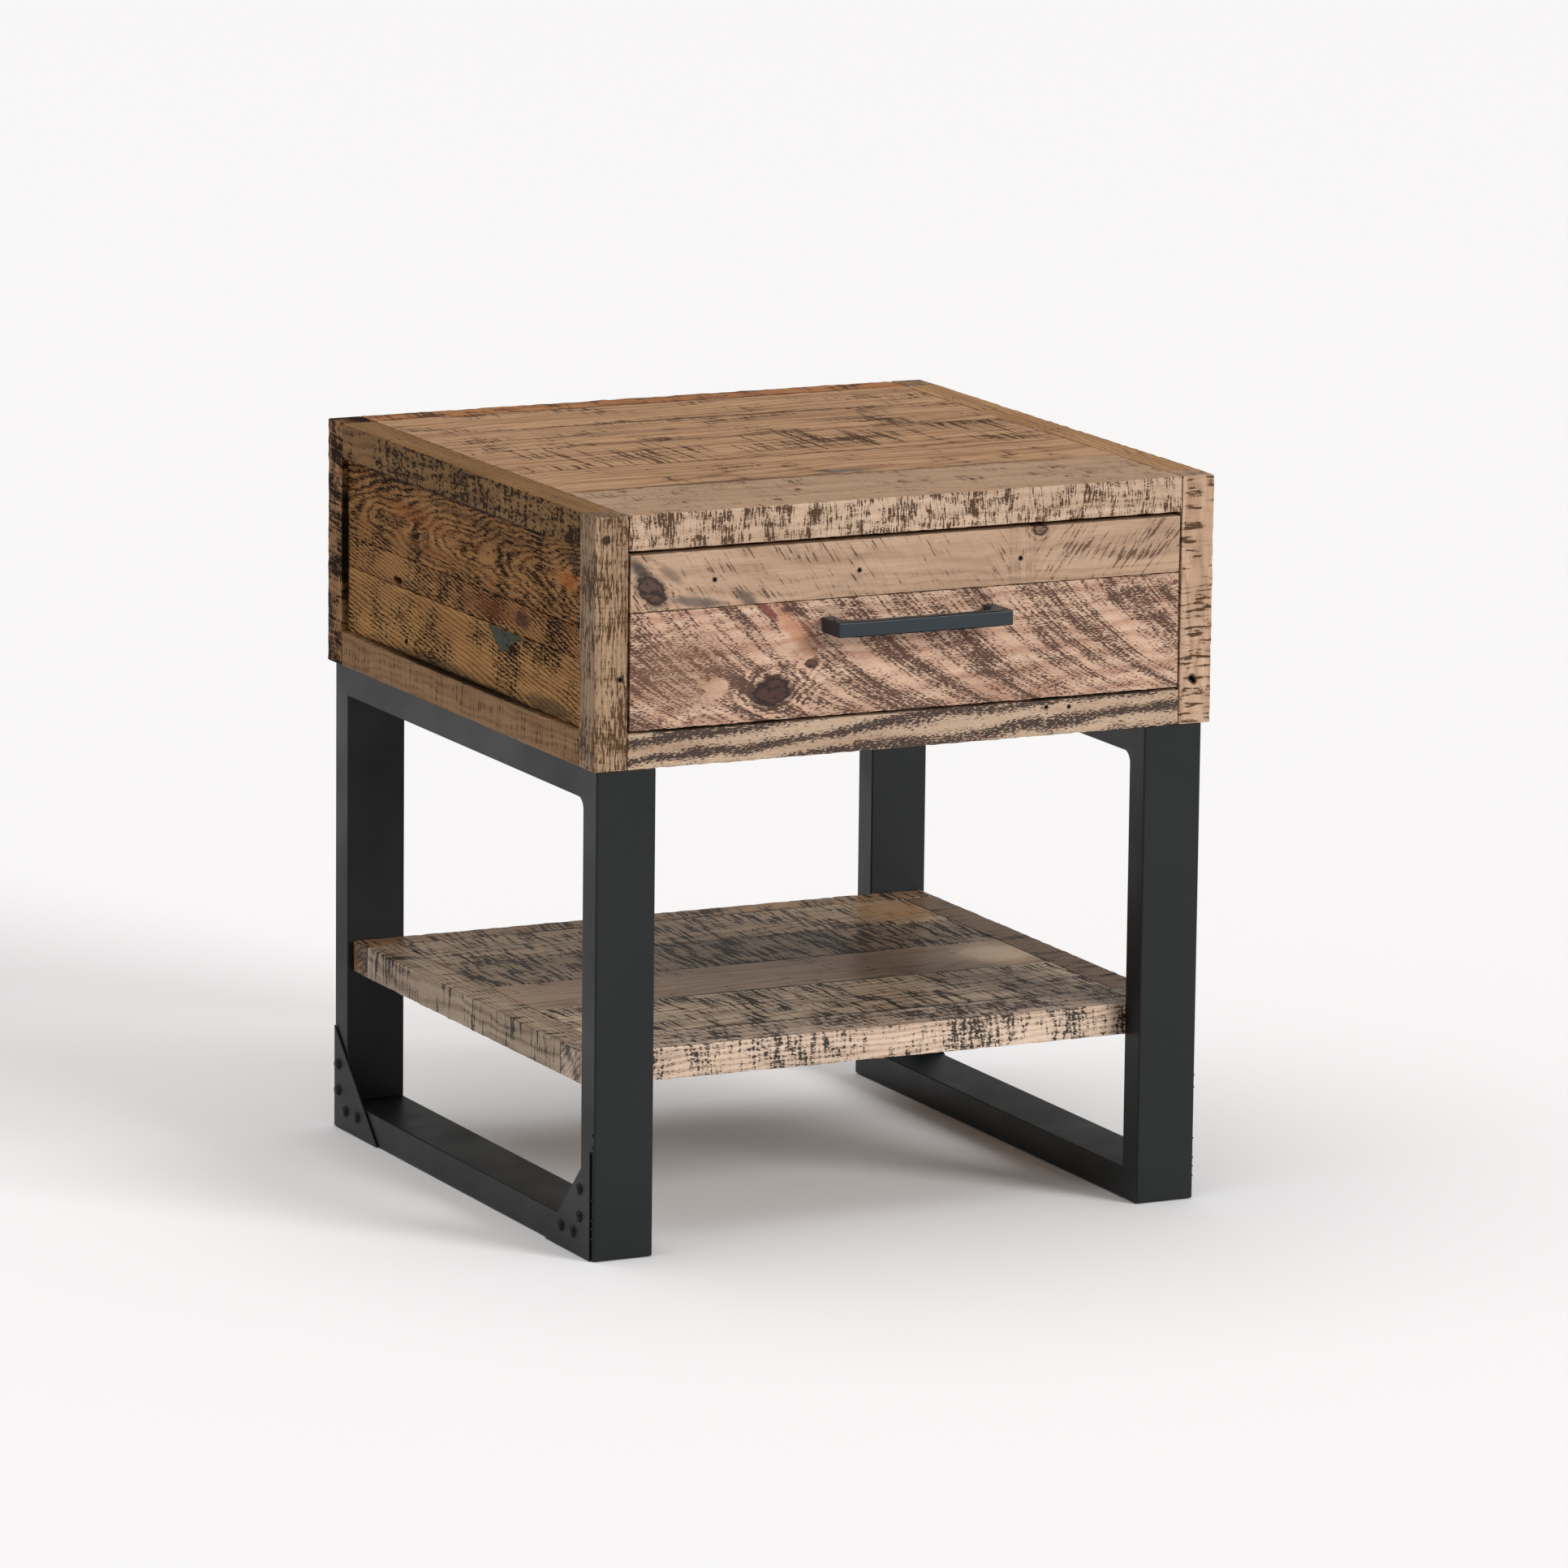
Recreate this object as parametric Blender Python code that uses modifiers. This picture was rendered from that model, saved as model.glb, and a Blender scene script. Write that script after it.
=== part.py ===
"""Side table with one drawer: a planked pine case and shelf on two welded steel leg frames.

Units are metres and +Z is up. The drawer opens towards -Y. The origin is on the floor, under
the middle of the whole table, handle included.
"""

import math

import bmesh
import bpy
from mathutils import Matrix, Vector

# Gap between two pieces that touch
JOINT_GAP = 0.0003

# Flat sides of a screw, and of a quarter turn on the handle
ROUND_SIDES = 16
FILLET_SIDES = 6

# Overall sizes
CASE_WIDTH = 0.540
CASE_DEPTH = 0.518
CASE_HEIGHT = 0.200
LEG_HEIGHT = 0.390

# Case timber
FRAME_STOCK = 0.0285
TOP_THICKNESS = 0.0285
PANEL_RECESS = 0.005
BACK_THICKNESS = 0.012
DUST_PANEL_THICKNESS = 0.006
DUST_PANEL_RECESS = 0.002
ARRIS = 0.0008
TOP_BOARD_SHARES = (82, 95, 100, 100, 113)
SIDE_BOARD_SHARES = (64, 25, 54)

# Shelf
SHELF_HEIGHT = 0.160
SHELF_THICKNESS = 0.026
SHELF_OVERHANG = 0.005
SHELF_END_WIDTH = 0.030
SHELF_REAR_WIDTH = 0.028
SHELF_FRONT_WIDTH = 0.050
SHELF_BOARD_SHARES = (88, 88, 92, 110)

# Leg frames, welded from rectangular steel tube
TUBE_WIDTH = 0.0508
TUBE_DEPTH = 0.0254
TUBE_WALL = 0.002
TUBE_CORNER = 0.0012
FRAME_INSET = 0.005

# Corner plates with their riveted heads: the plate's setback from the leg's outer edge, its
# length and height, and each rivet's distance from that edge and from the floor
PLATE_THICKNESS = 0.0025
FRONT_PLATE = (0.005, 0.084, 0.088)
REAR_PLATE = (0.0025, 0.087, 0.085)
FRONT_RIVETS = ((0.0240, 0.0535), (0.0240, 0.0315), (0.0355, 0.0170), (0.0580, 0.0170))
REAR_RIVETS = ((0.0105, 0.0535), (0.0105, 0.0315), (0.0255, 0.0165), (0.0490, 0.0165))
RIVET_RADIUS = 0.0038
RIVET_DOME = 0.0020

# Drawer front
FRONT_THICKNESS = 0.020
FRONT_GAP_TOP = 0.003
FRONT_GAP_BOTTOM = 0.002
FRONT_GAP_SIDE = 0.0015
FRONT_BOARD_SHARES = (45, 92)

# Drawer box
BOX_WALL = 0.012
BOX_HEIGHT = 0.095
BOX_RISE = 0.012
BOX_REAR_GAP = 0.0684
BOX_BOTTOM = 0.006
GROOVE_RISE = 0.010
GROOVE_DEPTH = 0.006

# Ball-bearing slides: three nested channels on each side, as long as the box
SLIDE_HEIGHT = 0.045
SLIDE_THICKNESS = 0.0127
SLIDE_WALL = 0.0015
SLIDE_CLEARANCE = 0.0006

# Handle
HANDLE_LENGTH = 0.152
HANDLE_REACH = 0.032
HANDLE_HEIGHT = 0.012
HANDLE_BAR = 0.009
HANDLE_FOOT = 0.011
HANDLE_FILLET = 0.011
HANDLE_ARRIS = 0.0010
HANDLE_RISE = 0.004
HANDLE_SCREW_RADIUS = 0.002
SCREW_HOLE_CLEARANCE = 0.0003
SCREW_BITE = 0.009
SCREW_HEAD_RADIUS = 0.0045
SCREW_HEAD_THICKNESS = 0.0025

# Places worked out from the sizes
TABLE_HEIGHT = LEG_HEIGHT + CASE_HEIGHT
CENTRE_Y = HANDLE_REACH / 2
CASE_X = CASE_WIDTH / 2
CASE_FRONT = CENTRE_Y - CASE_DEPTH / 2
CASE_REAR = CENTRE_Y + CASE_DEPTH / 2
CASE_BASE = LEG_HEIGHT
INNER_X = CASE_X - FRAME_STOCK
OPENING_LOW = CASE_BASE + FRAME_STOCK
OPENING_HIGH = TABLE_HEIGHT - TOP_THICKNESS
FRAME_X = CASE_X - FRAME_INSET
FRAME_FRONT = CASE_FRONT + FRAME_INSET
FRAME_REAR = CASE_REAR - FRAME_INSET
FRONT_BACK_Y = CASE_FRONT + FRONT_THICKNESS
BOX_FRONT_Y = FRONT_BACK_Y + JOINT_GAP
BOX_SIDE_Y = BOX_FRONT_Y + BOX_WALL + JOINT_GAP
BACK_FACE_Y = CASE_REAR - PANEL_RECESS
BOX_REAR_Y = BACK_FACE_Y - BACK_THICKNESS - BOX_REAR_GAP
SLIDE_LENGTH = BOX_REAR_Y - BOX_SIDE_Y
BOX_LOW = OPENING_LOW + BOX_RISE
BOX_X = INNER_X - 2 * JOINT_GAP - SLIDE_THICKNESS
SLIDE_Z = BOX_LOW + BOX_HEIGHT / 2
FRONT_LOW = OPENING_LOW + FRONT_GAP_BOTTOM
FRONT_HIGH = OPENING_HIGH - FRONT_GAP_TOP
HANDLE_Z = (FRONT_LOW + FRONT_HIGH) / 2 + HANDLE_RISE
HANDLE_SCREW_X = HANDLE_LENGTH / 2 - HANDLE_FOOT / 2


def new_collection(name):
    collection = bpy.data.collections.new(name)
    bpy.context.scene.collection.children.link(collection)
    return collection


def new_material(name, colour, roughness, metallic=0.0):
    material = bpy.data.materials.new(name)
    material.use_nodes = True
    shader = material.node_tree.nodes["Principled BSDF"]
    shader.inputs["Base Color"].default_value = (*colour, 1.0)
    shader.inputs["Roughness"].default_value = roughness
    shader.inputs["Metallic"].default_value = metallic
    return material


def new_empty(name, location):
    empty = bpy.data.objects.new(name, None)
    empty.location = location
    parts.objects.link(empty)
    return empty


def move_to(obj, collection):
    for old in list(obj.users_collection):
        old.objects.unlink(obj)
    collection.objects.link(obj)


def hang(obj, parent):
    """Parents obj to an empty and leaves it where it is."""
    obj.parent = parent
    obj.matrix_parent_inverse = Matrix.Translation(-parent.location)


def add_bevel(obj, width, segments=1):
    bevel = obj.modifiers.new("Rounded edges", "BEVEL")
    bevel.width = width
    bevel.segments = segments
    bevel.limit_method = "ANGLE"
    return bevel


def cut(obj, cutter, operation="DIFFERENCE"):
    boolean = obj.modifiers.new(cutter.name, "BOOLEAN")
    boolean.operation = operation
    boolean.object = cutter


def add_block(name, x, y, z, collection):
    """A box that fills the spans x, y and z, each a (low, high) pair."""
    low = Vector((x[0], y[0], z[0]))
    high = Vector((x[1], y[1], z[1]))
    bpy.ops.mesh.primitive_cube_add(size=1, location=(low + high) / 2)
    obj = bpy.context.object
    obj.name = name
    obj.data.name = name
    obj.data.transform(Matrix.Diagonal((high - low)).to_4x4())
    move_to(obj, collection)
    return obj


def add_board(name, x, y, z, material, parent, arris=ARRIS):
    board = add_block(name, x, y, z, parts)
    board.data.materials.append(material)
    if arris:
        add_bevel(board, arris)
    hang(board, parent)
    return board


def add_cutter(name, x, y, z):
    cutter = add_block(name, x, y, z, cutters)
    cutter.hide_render = True
    cutter.display_type = "WIRE"
    return cutter


def add_outline(name, points, thickness, matrix, collection):
    """A flat plate: the outline's two coordinates, with half of its thickness on each side."""
    curve = bpy.data.curves.new(name, "CURVE")
    curve.dimensions = "2D"
    curve.fill_mode = "BOTH"
    curve.extrude = thickness / 2
    spline = curve.splines.new("POLY")
    spline.points.add(len(points) - 1)
    for point, (u, v) in zip(spline.points, points):
        point.co = (u, v, 0, 1)
    spline.use_cyclic_u = True
    outline = bpy.data.objects.new(name, curve)
    outline.matrix_world = matrix
    collection.objects.link(outline)
    return outline


def to_mesh(outline, material=None):
    """Replaces a curve object by a mesh object with its caps welded to its sides."""
    bpy.context.view_layer.update()
    graph = bpy.context.evaluated_depsgraph_get()
    mesh = bpy.data.meshes.new_from_object(outline.evaluated_get(graph))
    work = bmesh.new()
    work.from_mesh(mesh)
    bmesh.ops.remove_doubles(work, verts=work.verts, dist=1e-6)
    bmesh.ops.recalc_face_normals(work, faces=work.faces)
    work.to_mesh(mesh)
    work.free()
    name = outline.name
    solid = bpy.data.objects.new(name, mesh)
    solid.matrix_world = outline.matrix_world
    outline.users_collection[0].objects.link(solid)
    bpy.data.objects.remove(outline)
    solid.name = name
    mesh.name = name
    if material:
        mesh.materials.clear()
        mesh.materials.append(material)
    return solid


def between(low, high):
    """The span that fits between two neighbours' faces, a joint gap clear of each."""
    return low + JOINT_GAP, high - JOINT_GAP


def split(low, high, shares):
    """Spans that fill low to high in these proportions, a joint gap apart."""
    usable = high - low - JOINT_GAP * (len(shares) - 1)
    spans = []
    start = low
    for share in shares:
        end = start + usable * share / sum(shares)
        spans.append((start, end))
        start = end + JOINT_GAP
    return spans


def mirrored(span, side):
    """The span on the left (-1) or right (1) of the table, low end first."""
    return (span[0], span[1]) if side > 0 else (-span[1], -span[0])


def arc(centre, radius, start, end):
    """Points on an arc, with its angles in degrees."""
    points = []
    for step in range(FILLET_SIDES + 1):
        angle = math.radians(start + (end - start) * step / FILLET_SIDES)
        points.append((centre[0] + radius * math.cos(angle), centre[1] + radius * math.sin(angle)))
    return points


# ---------------------------------------------------------------- case


def add_posts():
    front = (CASE_FRONT, CASE_FRONT + FRAME_STOCK)
    rear = (CASE_REAR - FRAME_STOCK, CASE_REAR)
    for side, side_name in SIDES:
        for y, end_name in ((front, "front"), (rear, "rear")):
            x = mirrored((INNER_X, CASE_X), side)
            name = f"post_{end_name}_{side_name}"
            add_board(name, x, y, (CASE_BASE, TABLE_HEIGHT), pine_post, table)


def add_rails():
    between_posts_y = between(CASE_FRONT + FRAME_STOCK, CASE_REAR - FRAME_STOCK)
    between_posts_x = between(-INNER_X, INNER_X)
    bottom = (CASE_BASE, OPENING_LOW)
    for side, side_name in SIDES:
        x = mirrored((INNER_X, CASE_X), side)
        top = (TABLE_HEIGHT - FRAME_STOCK, TABLE_HEIGHT)
        add_board(f"side_top_rail_{side_name}", x, between_posts_y, top, pine_rail, table)
        add_board(f"side_bottom_rail_{side_name}", x, between_posts_y, bottom, pine_rail, table)
    front = (CASE_FRONT, CASE_FRONT + FRAME_STOCK)
    rear = (CASE_REAR - FRAME_STOCK, CASE_REAR)
    add_board("front_bottom_rail", between_posts_x, front, bottom, pine_front, table)
    add_board("rear_bottom_rail", between_posts_x, rear, bottom, pine_rail, table)


def add_top():
    """Boards across the case. The front one's edge is the rail above the drawer."""
    x = between(-INNER_X, INNER_X)
    z = (TABLE_HEIGHT - TOP_THICKNESS, TABLE_HEIGHT)
    add_board("top_board_rear", x, (CASE_REAR - FRAME_STOCK, CASE_REAR), z, pine_dark, table)
    field_rear = CASE_REAR - FRAME_STOCK - JOINT_GAP
    spans = split(CASE_FRONT, field_rear, TOP_BOARD_SHARES[::-1])
    names = ("top_board_front", "top_board_4", "top_board_3", "top_board_2", "top_board_1")
    for name, y in zip(names, spans):
        add_board(name, x, y, z, pine_top, table)


def add_side_panels():
    """Three boards in each side, set back from the outside and flush with the posts inside."""
    y = between(CASE_FRONT + FRAME_STOCK, CASE_REAR - FRAME_STOCK)
    low, high = between(OPENING_LOW, TABLE_HEIGHT - FRAME_STOCK)
    spans = split(low, high, SIDE_BOARD_SHARES[::-1])
    for side, side_name in SIDES:
        x = mirrored((INNER_X, CASE_X - PANEL_RECESS), side)
        for place, z in zip(("lower", "middle", "upper"), spans):
            add_board(f"side_board_{place}_{side_name}", x, y, z, pine_panel, table)


def add_back_and_dust_panel():
    x = between(-INNER_X, INNER_X)
    back_y = (BACK_FACE_Y - BACK_THICKNESS, BACK_FACE_Y)
    back_z = between(OPENING_LOW, OPENING_HIGH)
    add_board("back_panel", x, back_y, back_z, pine_panel, table)
    dust_y = between(CASE_FRONT + FRAME_STOCK, CASE_REAR - FRAME_STOCK)
    dust_low = CASE_BASE + DUST_PANEL_RECESS
    dust_z = (dust_low, dust_low + DUST_PANEL_THICKNESS)
    add_board("dust_panel", x, dust_y, dust_z, plywood, table, arris=0)


# ---------------------------------------------------------------- shelf


def add_shelf():
    """Boards between full-width front and rear pieces, closed by an end piece on each side."""
    shelf_x = FRAME_X - SHELF_OVERHANG
    front, rear = between(FRAME_FRONT + TUBE_DEPTH, FRAME_REAR - TUBE_DEPTH)
    z = (SHELF_HEIGHT - SHELF_THICKNESS, SHELF_HEIGHT)
    front_edge = front + SHELF_FRONT_WIDTH
    rear_edge = rear - SHELF_REAR_WIDTH
    full_x = (-shelf_x, shelf_x)
    add_board("shelf_board_front", full_x, (front, front_edge), z, pine_shelf, table)
    add_board("shelf_board_rear", full_x, (rear_edge, rear), z, pine_shelf, table)
    field_y = between(front_edge, rear_edge)
    end_inner = shelf_x - SHELF_END_WIDTH
    for side, side_name in SIDES:
        x = mirrored((end_inner, shelf_x), side)
        add_board(f"shelf_end_{side_name}", x, field_y, z, pine_dark, table)
    field_x = between(-end_inner, end_inner)
    spans = split(*field_y, SHELF_BOARD_SHARES[::-1])
    for number, y in zip((4, 3, 2, 1), spans):
        add_board(f"shelf_board_{number}", field_x, y, z, pine_shelf, table)


# ---------------------------------------------------------------- leg frames


def add_tube(name, x, y, z, along, start_inner, end_inner):
    """A hollow rectangular tube along axis "Y" or "Z", mitred at both ends for the welds.

    start_inner and end_inner are the far corners of the two mitres, which slope inwards from
    the ends of the tube on its outer face.
    """
    tube = add_block(name, x, y, z, parts)
    tube.data.materials.append(powder_coat)
    middle = tube.location.copy()
    axis = "XYZ".index(along)
    spans = (x, y, z)

    work = bmesh.new()
    work.from_mesh(tube.data)
    long_edges = [
        edge for edge in work.edges
        if abs((edge.verts[0].co - edge.verts[1].co)[axis]) > 1e-6
    ]
    bmesh.ops.bevel(work, geom=long_edges, offset=TUBE_CORNER, segments=2, profile=0.5,
                    affect="EDGES")
    for corner, outer, direction in (
        (start_inner, spans[axis][0], -1),
        (end_inner, spans[axis][1], 1),
    ):
        slope = Vector((0, 0, 0))
        slope[axis] = direction
        across = 3 - axis
        inwards = 1 if corner[across] > middle[across] else -1
        slope[across] = inwards
        point = Vector(middle)
        point[axis] = outer
        point[across] = 2 * middle[across] - corner[across]
        result = bmesh.ops.bisect_plane(
            work, geom=work.verts[:] + work.edges[:] + work.faces[:], dist=1e-7,
            plane_co=point - middle, plane_no=slope, clear_outer=True,
        )
        rim = [item for item in result["geom_cut"] if isinstance(item, bmesh.types.BMEdge)]
        bmesh.ops.edgeloop_fill(work, edges=rim)
    bmesh.ops.recalc_face_normals(work, faces=work.faces)
    work.to_mesh(tube.data)
    work.free()

    bore = []
    for index, span in enumerate(spans):
        reach = TUBE_DEPTH if index == axis else -TUBE_WALL
        bore.append((span[0] - reach, span[1] + reach))
    cut(tube, add_cutter(f"{name}_bore", *bore))
    hang(tube, table)


def upright(x):
    """Places an outline drawn in (Y, Z) in the upright plane at x."""
    return Matrix(((0, 0, 1, x), (1, 0, 0, 0), (0, 1, 0, 0), (0, 0, 0, 1)))


def add_leg_frames():
    top = LEG_HEIGHT - JOINT_GAP
    mitre_gap = JOINT_GAP * math.sqrt(2)
    inner_front = FRAME_FRONT + TUBE_DEPTH
    inner_rear = FRAME_REAR - TUBE_DEPTH
    leg_z = (0, top)
    rail_y = (FRAME_FRONT + mitre_gap, FRAME_REAR - mitre_gap)
    for side, side_name in SIDES:
        x = mirrored((FRAME_X - TUBE_WIDTH, FRAME_X), side)
        front_y = (FRAME_FRONT, inner_front)
        rear_y = (inner_rear, FRAME_REAR)
        low_z = (0, TUBE_DEPTH)
        high_z = (top - TUBE_DEPTH, top)
        add_tube(f"leg_front_{side_name}", x, front_y, leg_z, "Z",
                 (0, inner_front, TUBE_DEPTH), (0, inner_front, top - TUBE_DEPTH))
        add_tube(f"leg_rear_{side_name}", x, rear_y, leg_z, "Z",
                 (0, inner_rear, TUBE_DEPTH), (0, inner_rear, top - TUBE_DEPTH))
        add_tube(f"foot_tube_{side_name}", x, rail_y, low_z, "Y",
                 (0, inner_front, TUBE_DEPTH), (0, inner_rear, TUBE_DEPTH))
        add_tube(f"head_tube_{side_name}", x, rail_y, high_z, "Y",
                 (0, inner_front, top - TUBE_DEPTH), (0, inner_rear, top - TUBE_DEPTH))


def add_corner_plates():
    """Triangular plates on the outside of the two lower corners of each frame."""
    places = (
        ("front", FRAME_FRONT, 1, FRONT_PLATE, FRONT_RIVETS),
        ("rear", FRAME_REAR, -1, REAR_PLATE, REAR_RIVETS),
    )
    for side, side_name in SIDES:
        outer_x = side * (FRAME_X + JOINT_GAP + PLATE_THICKNESS)
        centre_x = side * (FRAME_X + JOINT_GAP + PLATE_THICKNESS / 2)
        for end_name, edge_y, inwards, (setback, length, height), rivets in places:
            name = f"corner_plate_{end_name}_{side_name}"
            corner_y = edge_y + inwards * setback
            points = [(corner_y, JOINT_GAP), (corner_y + inwards * length, JOINT_GAP),
                      (corner_y, height)]
            plate = add_outline(name, points, PLATE_THICKNESS, upright(centre_x), parts)
            plate = to_mesh(plate, powder_coat)
            for number, (along, up) in enumerate(rivets):
                place = Vector((outer_x, edge_y + inwards * along, up))
                cut(plate, add_rivet(f"{name}_rivet_{number}", place), "UNION")
            hang(plate, table)


def add_rivet(name, place):
    """A domed head, half sunk in the plate it is riveted to."""
    bpy.ops.mesh.primitive_uv_sphere_add(segments=12, ring_count=6, radius=1, location=place)
    rivet = bpy.context.object
    rivet.name = name
    turn = Matrix.Rotation(math.pi / 2, 4, "Y")
    shape = Matrix.Diagonal((RIVET_DOME, RIVET_RADIUS, RIVET_RADIUS, 1))
    rivet.data.transform(shape @ turn)
    rivet.data.shade_smooth()
    move_to(rivet, cutters)
    rivet.hide_render = True
    rivet.display_type = "WIRE"
    return rivet


# ---------------------------------------------------------------- drawer


def add_drawer_front():
    half = INNER_X - FRONT_GAP_SIDE
    y = (CASE_FRONT, FRONT_BACK_Y)
    spans = split(FRONT_LOW, FRONT_HIGH, FRONT_BOARD_SHARES[::-1])
    lower = add_board("drawer_front_lower", (-half, half), y, spans[0], pine_front, drawer)
    add_board("drawer_front_upper", (-half, half), y, spans[1], pine_front, drawer)
    return lower


def add_drawer_box():
    """Four walls with a groove that holds the bottom panel."""
    inner = BOX_X - BOX_WALL
    z = (BOX_LOW, BOX_LOW + BOX_HEIGHT)
    front_y = (BOX_FRONT_Y, BOX_FRONT_Y + BOX_WALL)
    side_y = (BOX_SIDE_Y, BOX_REAR_Y)
    back_y = (BOX_REAR_Y - BOX_WALL, BOX_REAR_Y)
    front = add_board("drawer_box_front", (-BOX_X, BOX_X), front_y, z, box_wood, drawer)
    walls = [front]
    for side, side_name in SIDES:
        x = mirrored((inner, BOX_X), side)
        walls.append(add_board(f"drawer_side_{side_name}", x, side_y, z, box_wood, drawer))
    walls.append(add_board("drawer_back", between(-inner, inner), back_y, z, box_wood, drawer))

    reach_x = inner + GROOVE_DEPTH
    groove_y = (front_y[1] - GROOVE_DEPTH, back_y[0] + GROOVE_DEPTH)
    groove_low = BOX_LOW + GROOVE_RISE
    groove_z = (groove_low, groove_low + BOX_BOTTOM + 2 * JOINT_GAP)
    groove = add_cutter("drawer_bottom_groove", (-reach_x, reach_x), groove_y, groove_z)
    for wall in walls:
        cut(wall, groove)
    add_board("drawer_bottom", between(-reach_x, reach_x), between(*groove_y),
              between(*groove_z), plywood, drawer, arris=0)
    return front


def add_channel(name, side, web, lips, height, material, parent):
    """A C-shaped rail along Y. web and lips are distances in from the case's inner face:
    where the upright wall stands, and the edges of its two lips."""
    far = max(lips) if web[0] <= min(lips) else min(lips)
    near = min(web) if web[0] <= min(lips) else max(web)
    inner = max(web) if web[0] <= min(lips) else min(web)
    half = height / 2
    profile = ((near, -half), (far, -half), (far, SLIDE_WALL - half), (inner, SLIDE_WALL - half),
               (inner, half - SLIDE_WALL), (far, half - SLIDE_WALL), (far, half), (near, half))
    points = [(side * (INNER_X - across), up + SLIDE_Z) for across, up in profile]
    middle_y = BOX_SIDE_Y + SLIDE_LENGTH / 2
    along_y = Matrix(((1, 0, 0, 0), (0, 0, -1, middle_y), (0, 1, 0, 0), (0, 0, 0, 1)))
    channel = add_outline(name, points, SLIDE_LENGTH, along_y, parts)
    channel = to_mesh(channel, material)
    hang(channel, parent)


def add_slides():
    """Each side's outer channel is fixed to the case and the inner one to the drawer. The
    middle one runs between them at half of the drawer's travel."""
    step = SLIDE_WALL + SLIDE_CLEARANCE
    full = JOINT_GAP + SLIDE_THICKNESS
    outer_web = (JOINT_GAP, JOINT_GAP + SLIDE_WALL)
    middle_web = (outer_web[0] + step, outer_web[1] + step)
    inner_web = (full - SLIDE_WALL, full)
    lip_end = inner_web[0] - SLIDE_CLEARANCE
    inner_lip = middle_web[1] + SLIDE_CLEARANCE
    middle_height = SLIDE_HEIGHT - 2 * step
    inner_height = middle_height - 2 * step
    for side, side_name in SIDES:
        add_channel(f"slide_outer_{side_name}", side, outer_web, outer_web + (lip_end,),
                    SLIDE_HEIGHT, zinc_steel, table)
        add_channel(f"slide_middle_{side_name}", side, middle_web, middle_web + (lip_end,),
                    middle_height, zinc_steel, slide_carriage)
        add_channel(f"slide_inner_{side_name}", side, inner_web, inner_web + (inner_lip,),
                    inner_height, zinc_steel, drawer)


def add_handle():
    """A flat bar on two feet, drawn from above, with a large fillet inside each end."""
    back = CASE_FRONT - JOINT_GAP
    front = CASE_FRONT - HANDLE_REACH
    bar_back = front + HANDLE_BAR
    half = HANDLE_LENGTH / 2
    foot = half - HANDLE_FOOT
    right = [(half, front), (half, back), (foot, back)]
    right += arc((foot - HANDLE_FILLET, bar_back + HANDLE_FILLET), HANDLE_FILLET, 0, -90)
    left = [(-x, y) for x, y in reversed(right)]
    place = Matrix.Translation((0, 0, HANDLE_Z))
    handle = add_outline("drawer_handle", right + left, HANDLE_HEIGHT, place, parts)
    handle = to_mesh(handle, handle_paint)
    bevel = add_bevel(handle, HANDLE_ARRIS, 2)
    bevel.angle_limit = math.radians(40)
    for side, side_name in SIDES:
        name = f"{side_name}_handle_hole"
        hole = add_rod(name, side, back - SCREW_BITE - 2 * JOINT_GAP, back + JOINT_GAP,
                       HANDLE_SCREW_RADIUS + SCREW_HOLE_CLEARANCE)
        cut(handle, hole)
    hang(handle, drawer)


def add_rod(name, side, start, end, radius):
    """A cutter along Y on one handle screw's axis."""
    centre = (side * HANDLE_SCREW_X, (start + end) / 2, HANDLE_Z)
    bpy.ops.mesh.primitive_cylinder_add(
        vertices=ROUND_SIDES, radius=radius, depth=end - start, location=centre,
        rotation=(math.pi / 2, 0, 0),
    )
    rod = bpy.context.object
    rod.name = name
    move_to(rod, cutters)
    rod.hide_render = True
    rod.display_type = "WIRE"
    return rod


def add_handle_screws(front_board, box_front):
    """One screw for each foot, from inside the drawer through the box front and the board."""
    seat = BOX_FRONT_Y + BOX_WALL + JOINT_GAP
    tip = CASE_FRONT - JOINT_GAP - SCREW_BITE
    for side, side_name in SIDES:
        bore = add_rod(f"{side_name}_screw_bore", side, tip, seat + BOX_WALL,
                       HANDLE_SCREW_RADIUS + SCREW_HOLE_CLEARANCE)
        cut(front_board, bore)
        cut(box_front, bore)
        head_end = seat + SCREW_HEAD_THICKNESS
        profile = [(0.0, tip), (HANDLE_SCREW_RADIUS, tip), (HANDLE_SCREW_RADIUS, seat),
                   (SCREW_HEAD_RADIUS, seat), (SCREW_HEAD_RADIUS, head_end), (0.0, head_end)]
        screw = add_turned(f"handle_screw_{side_name}", profile, side)
        screw.data.materials.append(zinc_steel)
        hang(screw, drawer)


def add_turned(name, profile, side):
    """A round piece: its profile of (radius, y) points turned about one screw's axis."""
    mesh = bpy.data.meshes.new(name)
    work = bmesh.new()
    previous = None
    for radius, y in profile:
        vertex = work.verts.new((radius, 0, -y))
        if previous:
            work.edges.new((previous, vertex))
        previous = vertex
    work.to_mesh(mesh)
    work.free()
    turned = bpy.data.objects.new(name, mesh)
    turned.location = (side * HANDLE_SCREW_X, 0, HANDLE_Z)
    turned.rotation_euler = (math.pi / 2, 0, 0)
    parts.objects.link(turned)
    screw = turned.modifiers.new("Turn", "SCREW")
    screw.steps = ROUND_SIDES
    screw.render_steps = ROUND_SIDES
    screw.use_merge_vertices = True
    screw.merge_threshold = 1e-6
    screw.use_smooth_shade = False
    return turned


# ---------------------------------------------------------------- table

for old in list(bpy.data.objects):
    bpy.data.objects.remove(old, do_unlink=True)

SIDES = ((-1, "left"), (1, "right"))
parts = new_collection("side_table")
cutters = new_collection("cutters")

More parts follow.
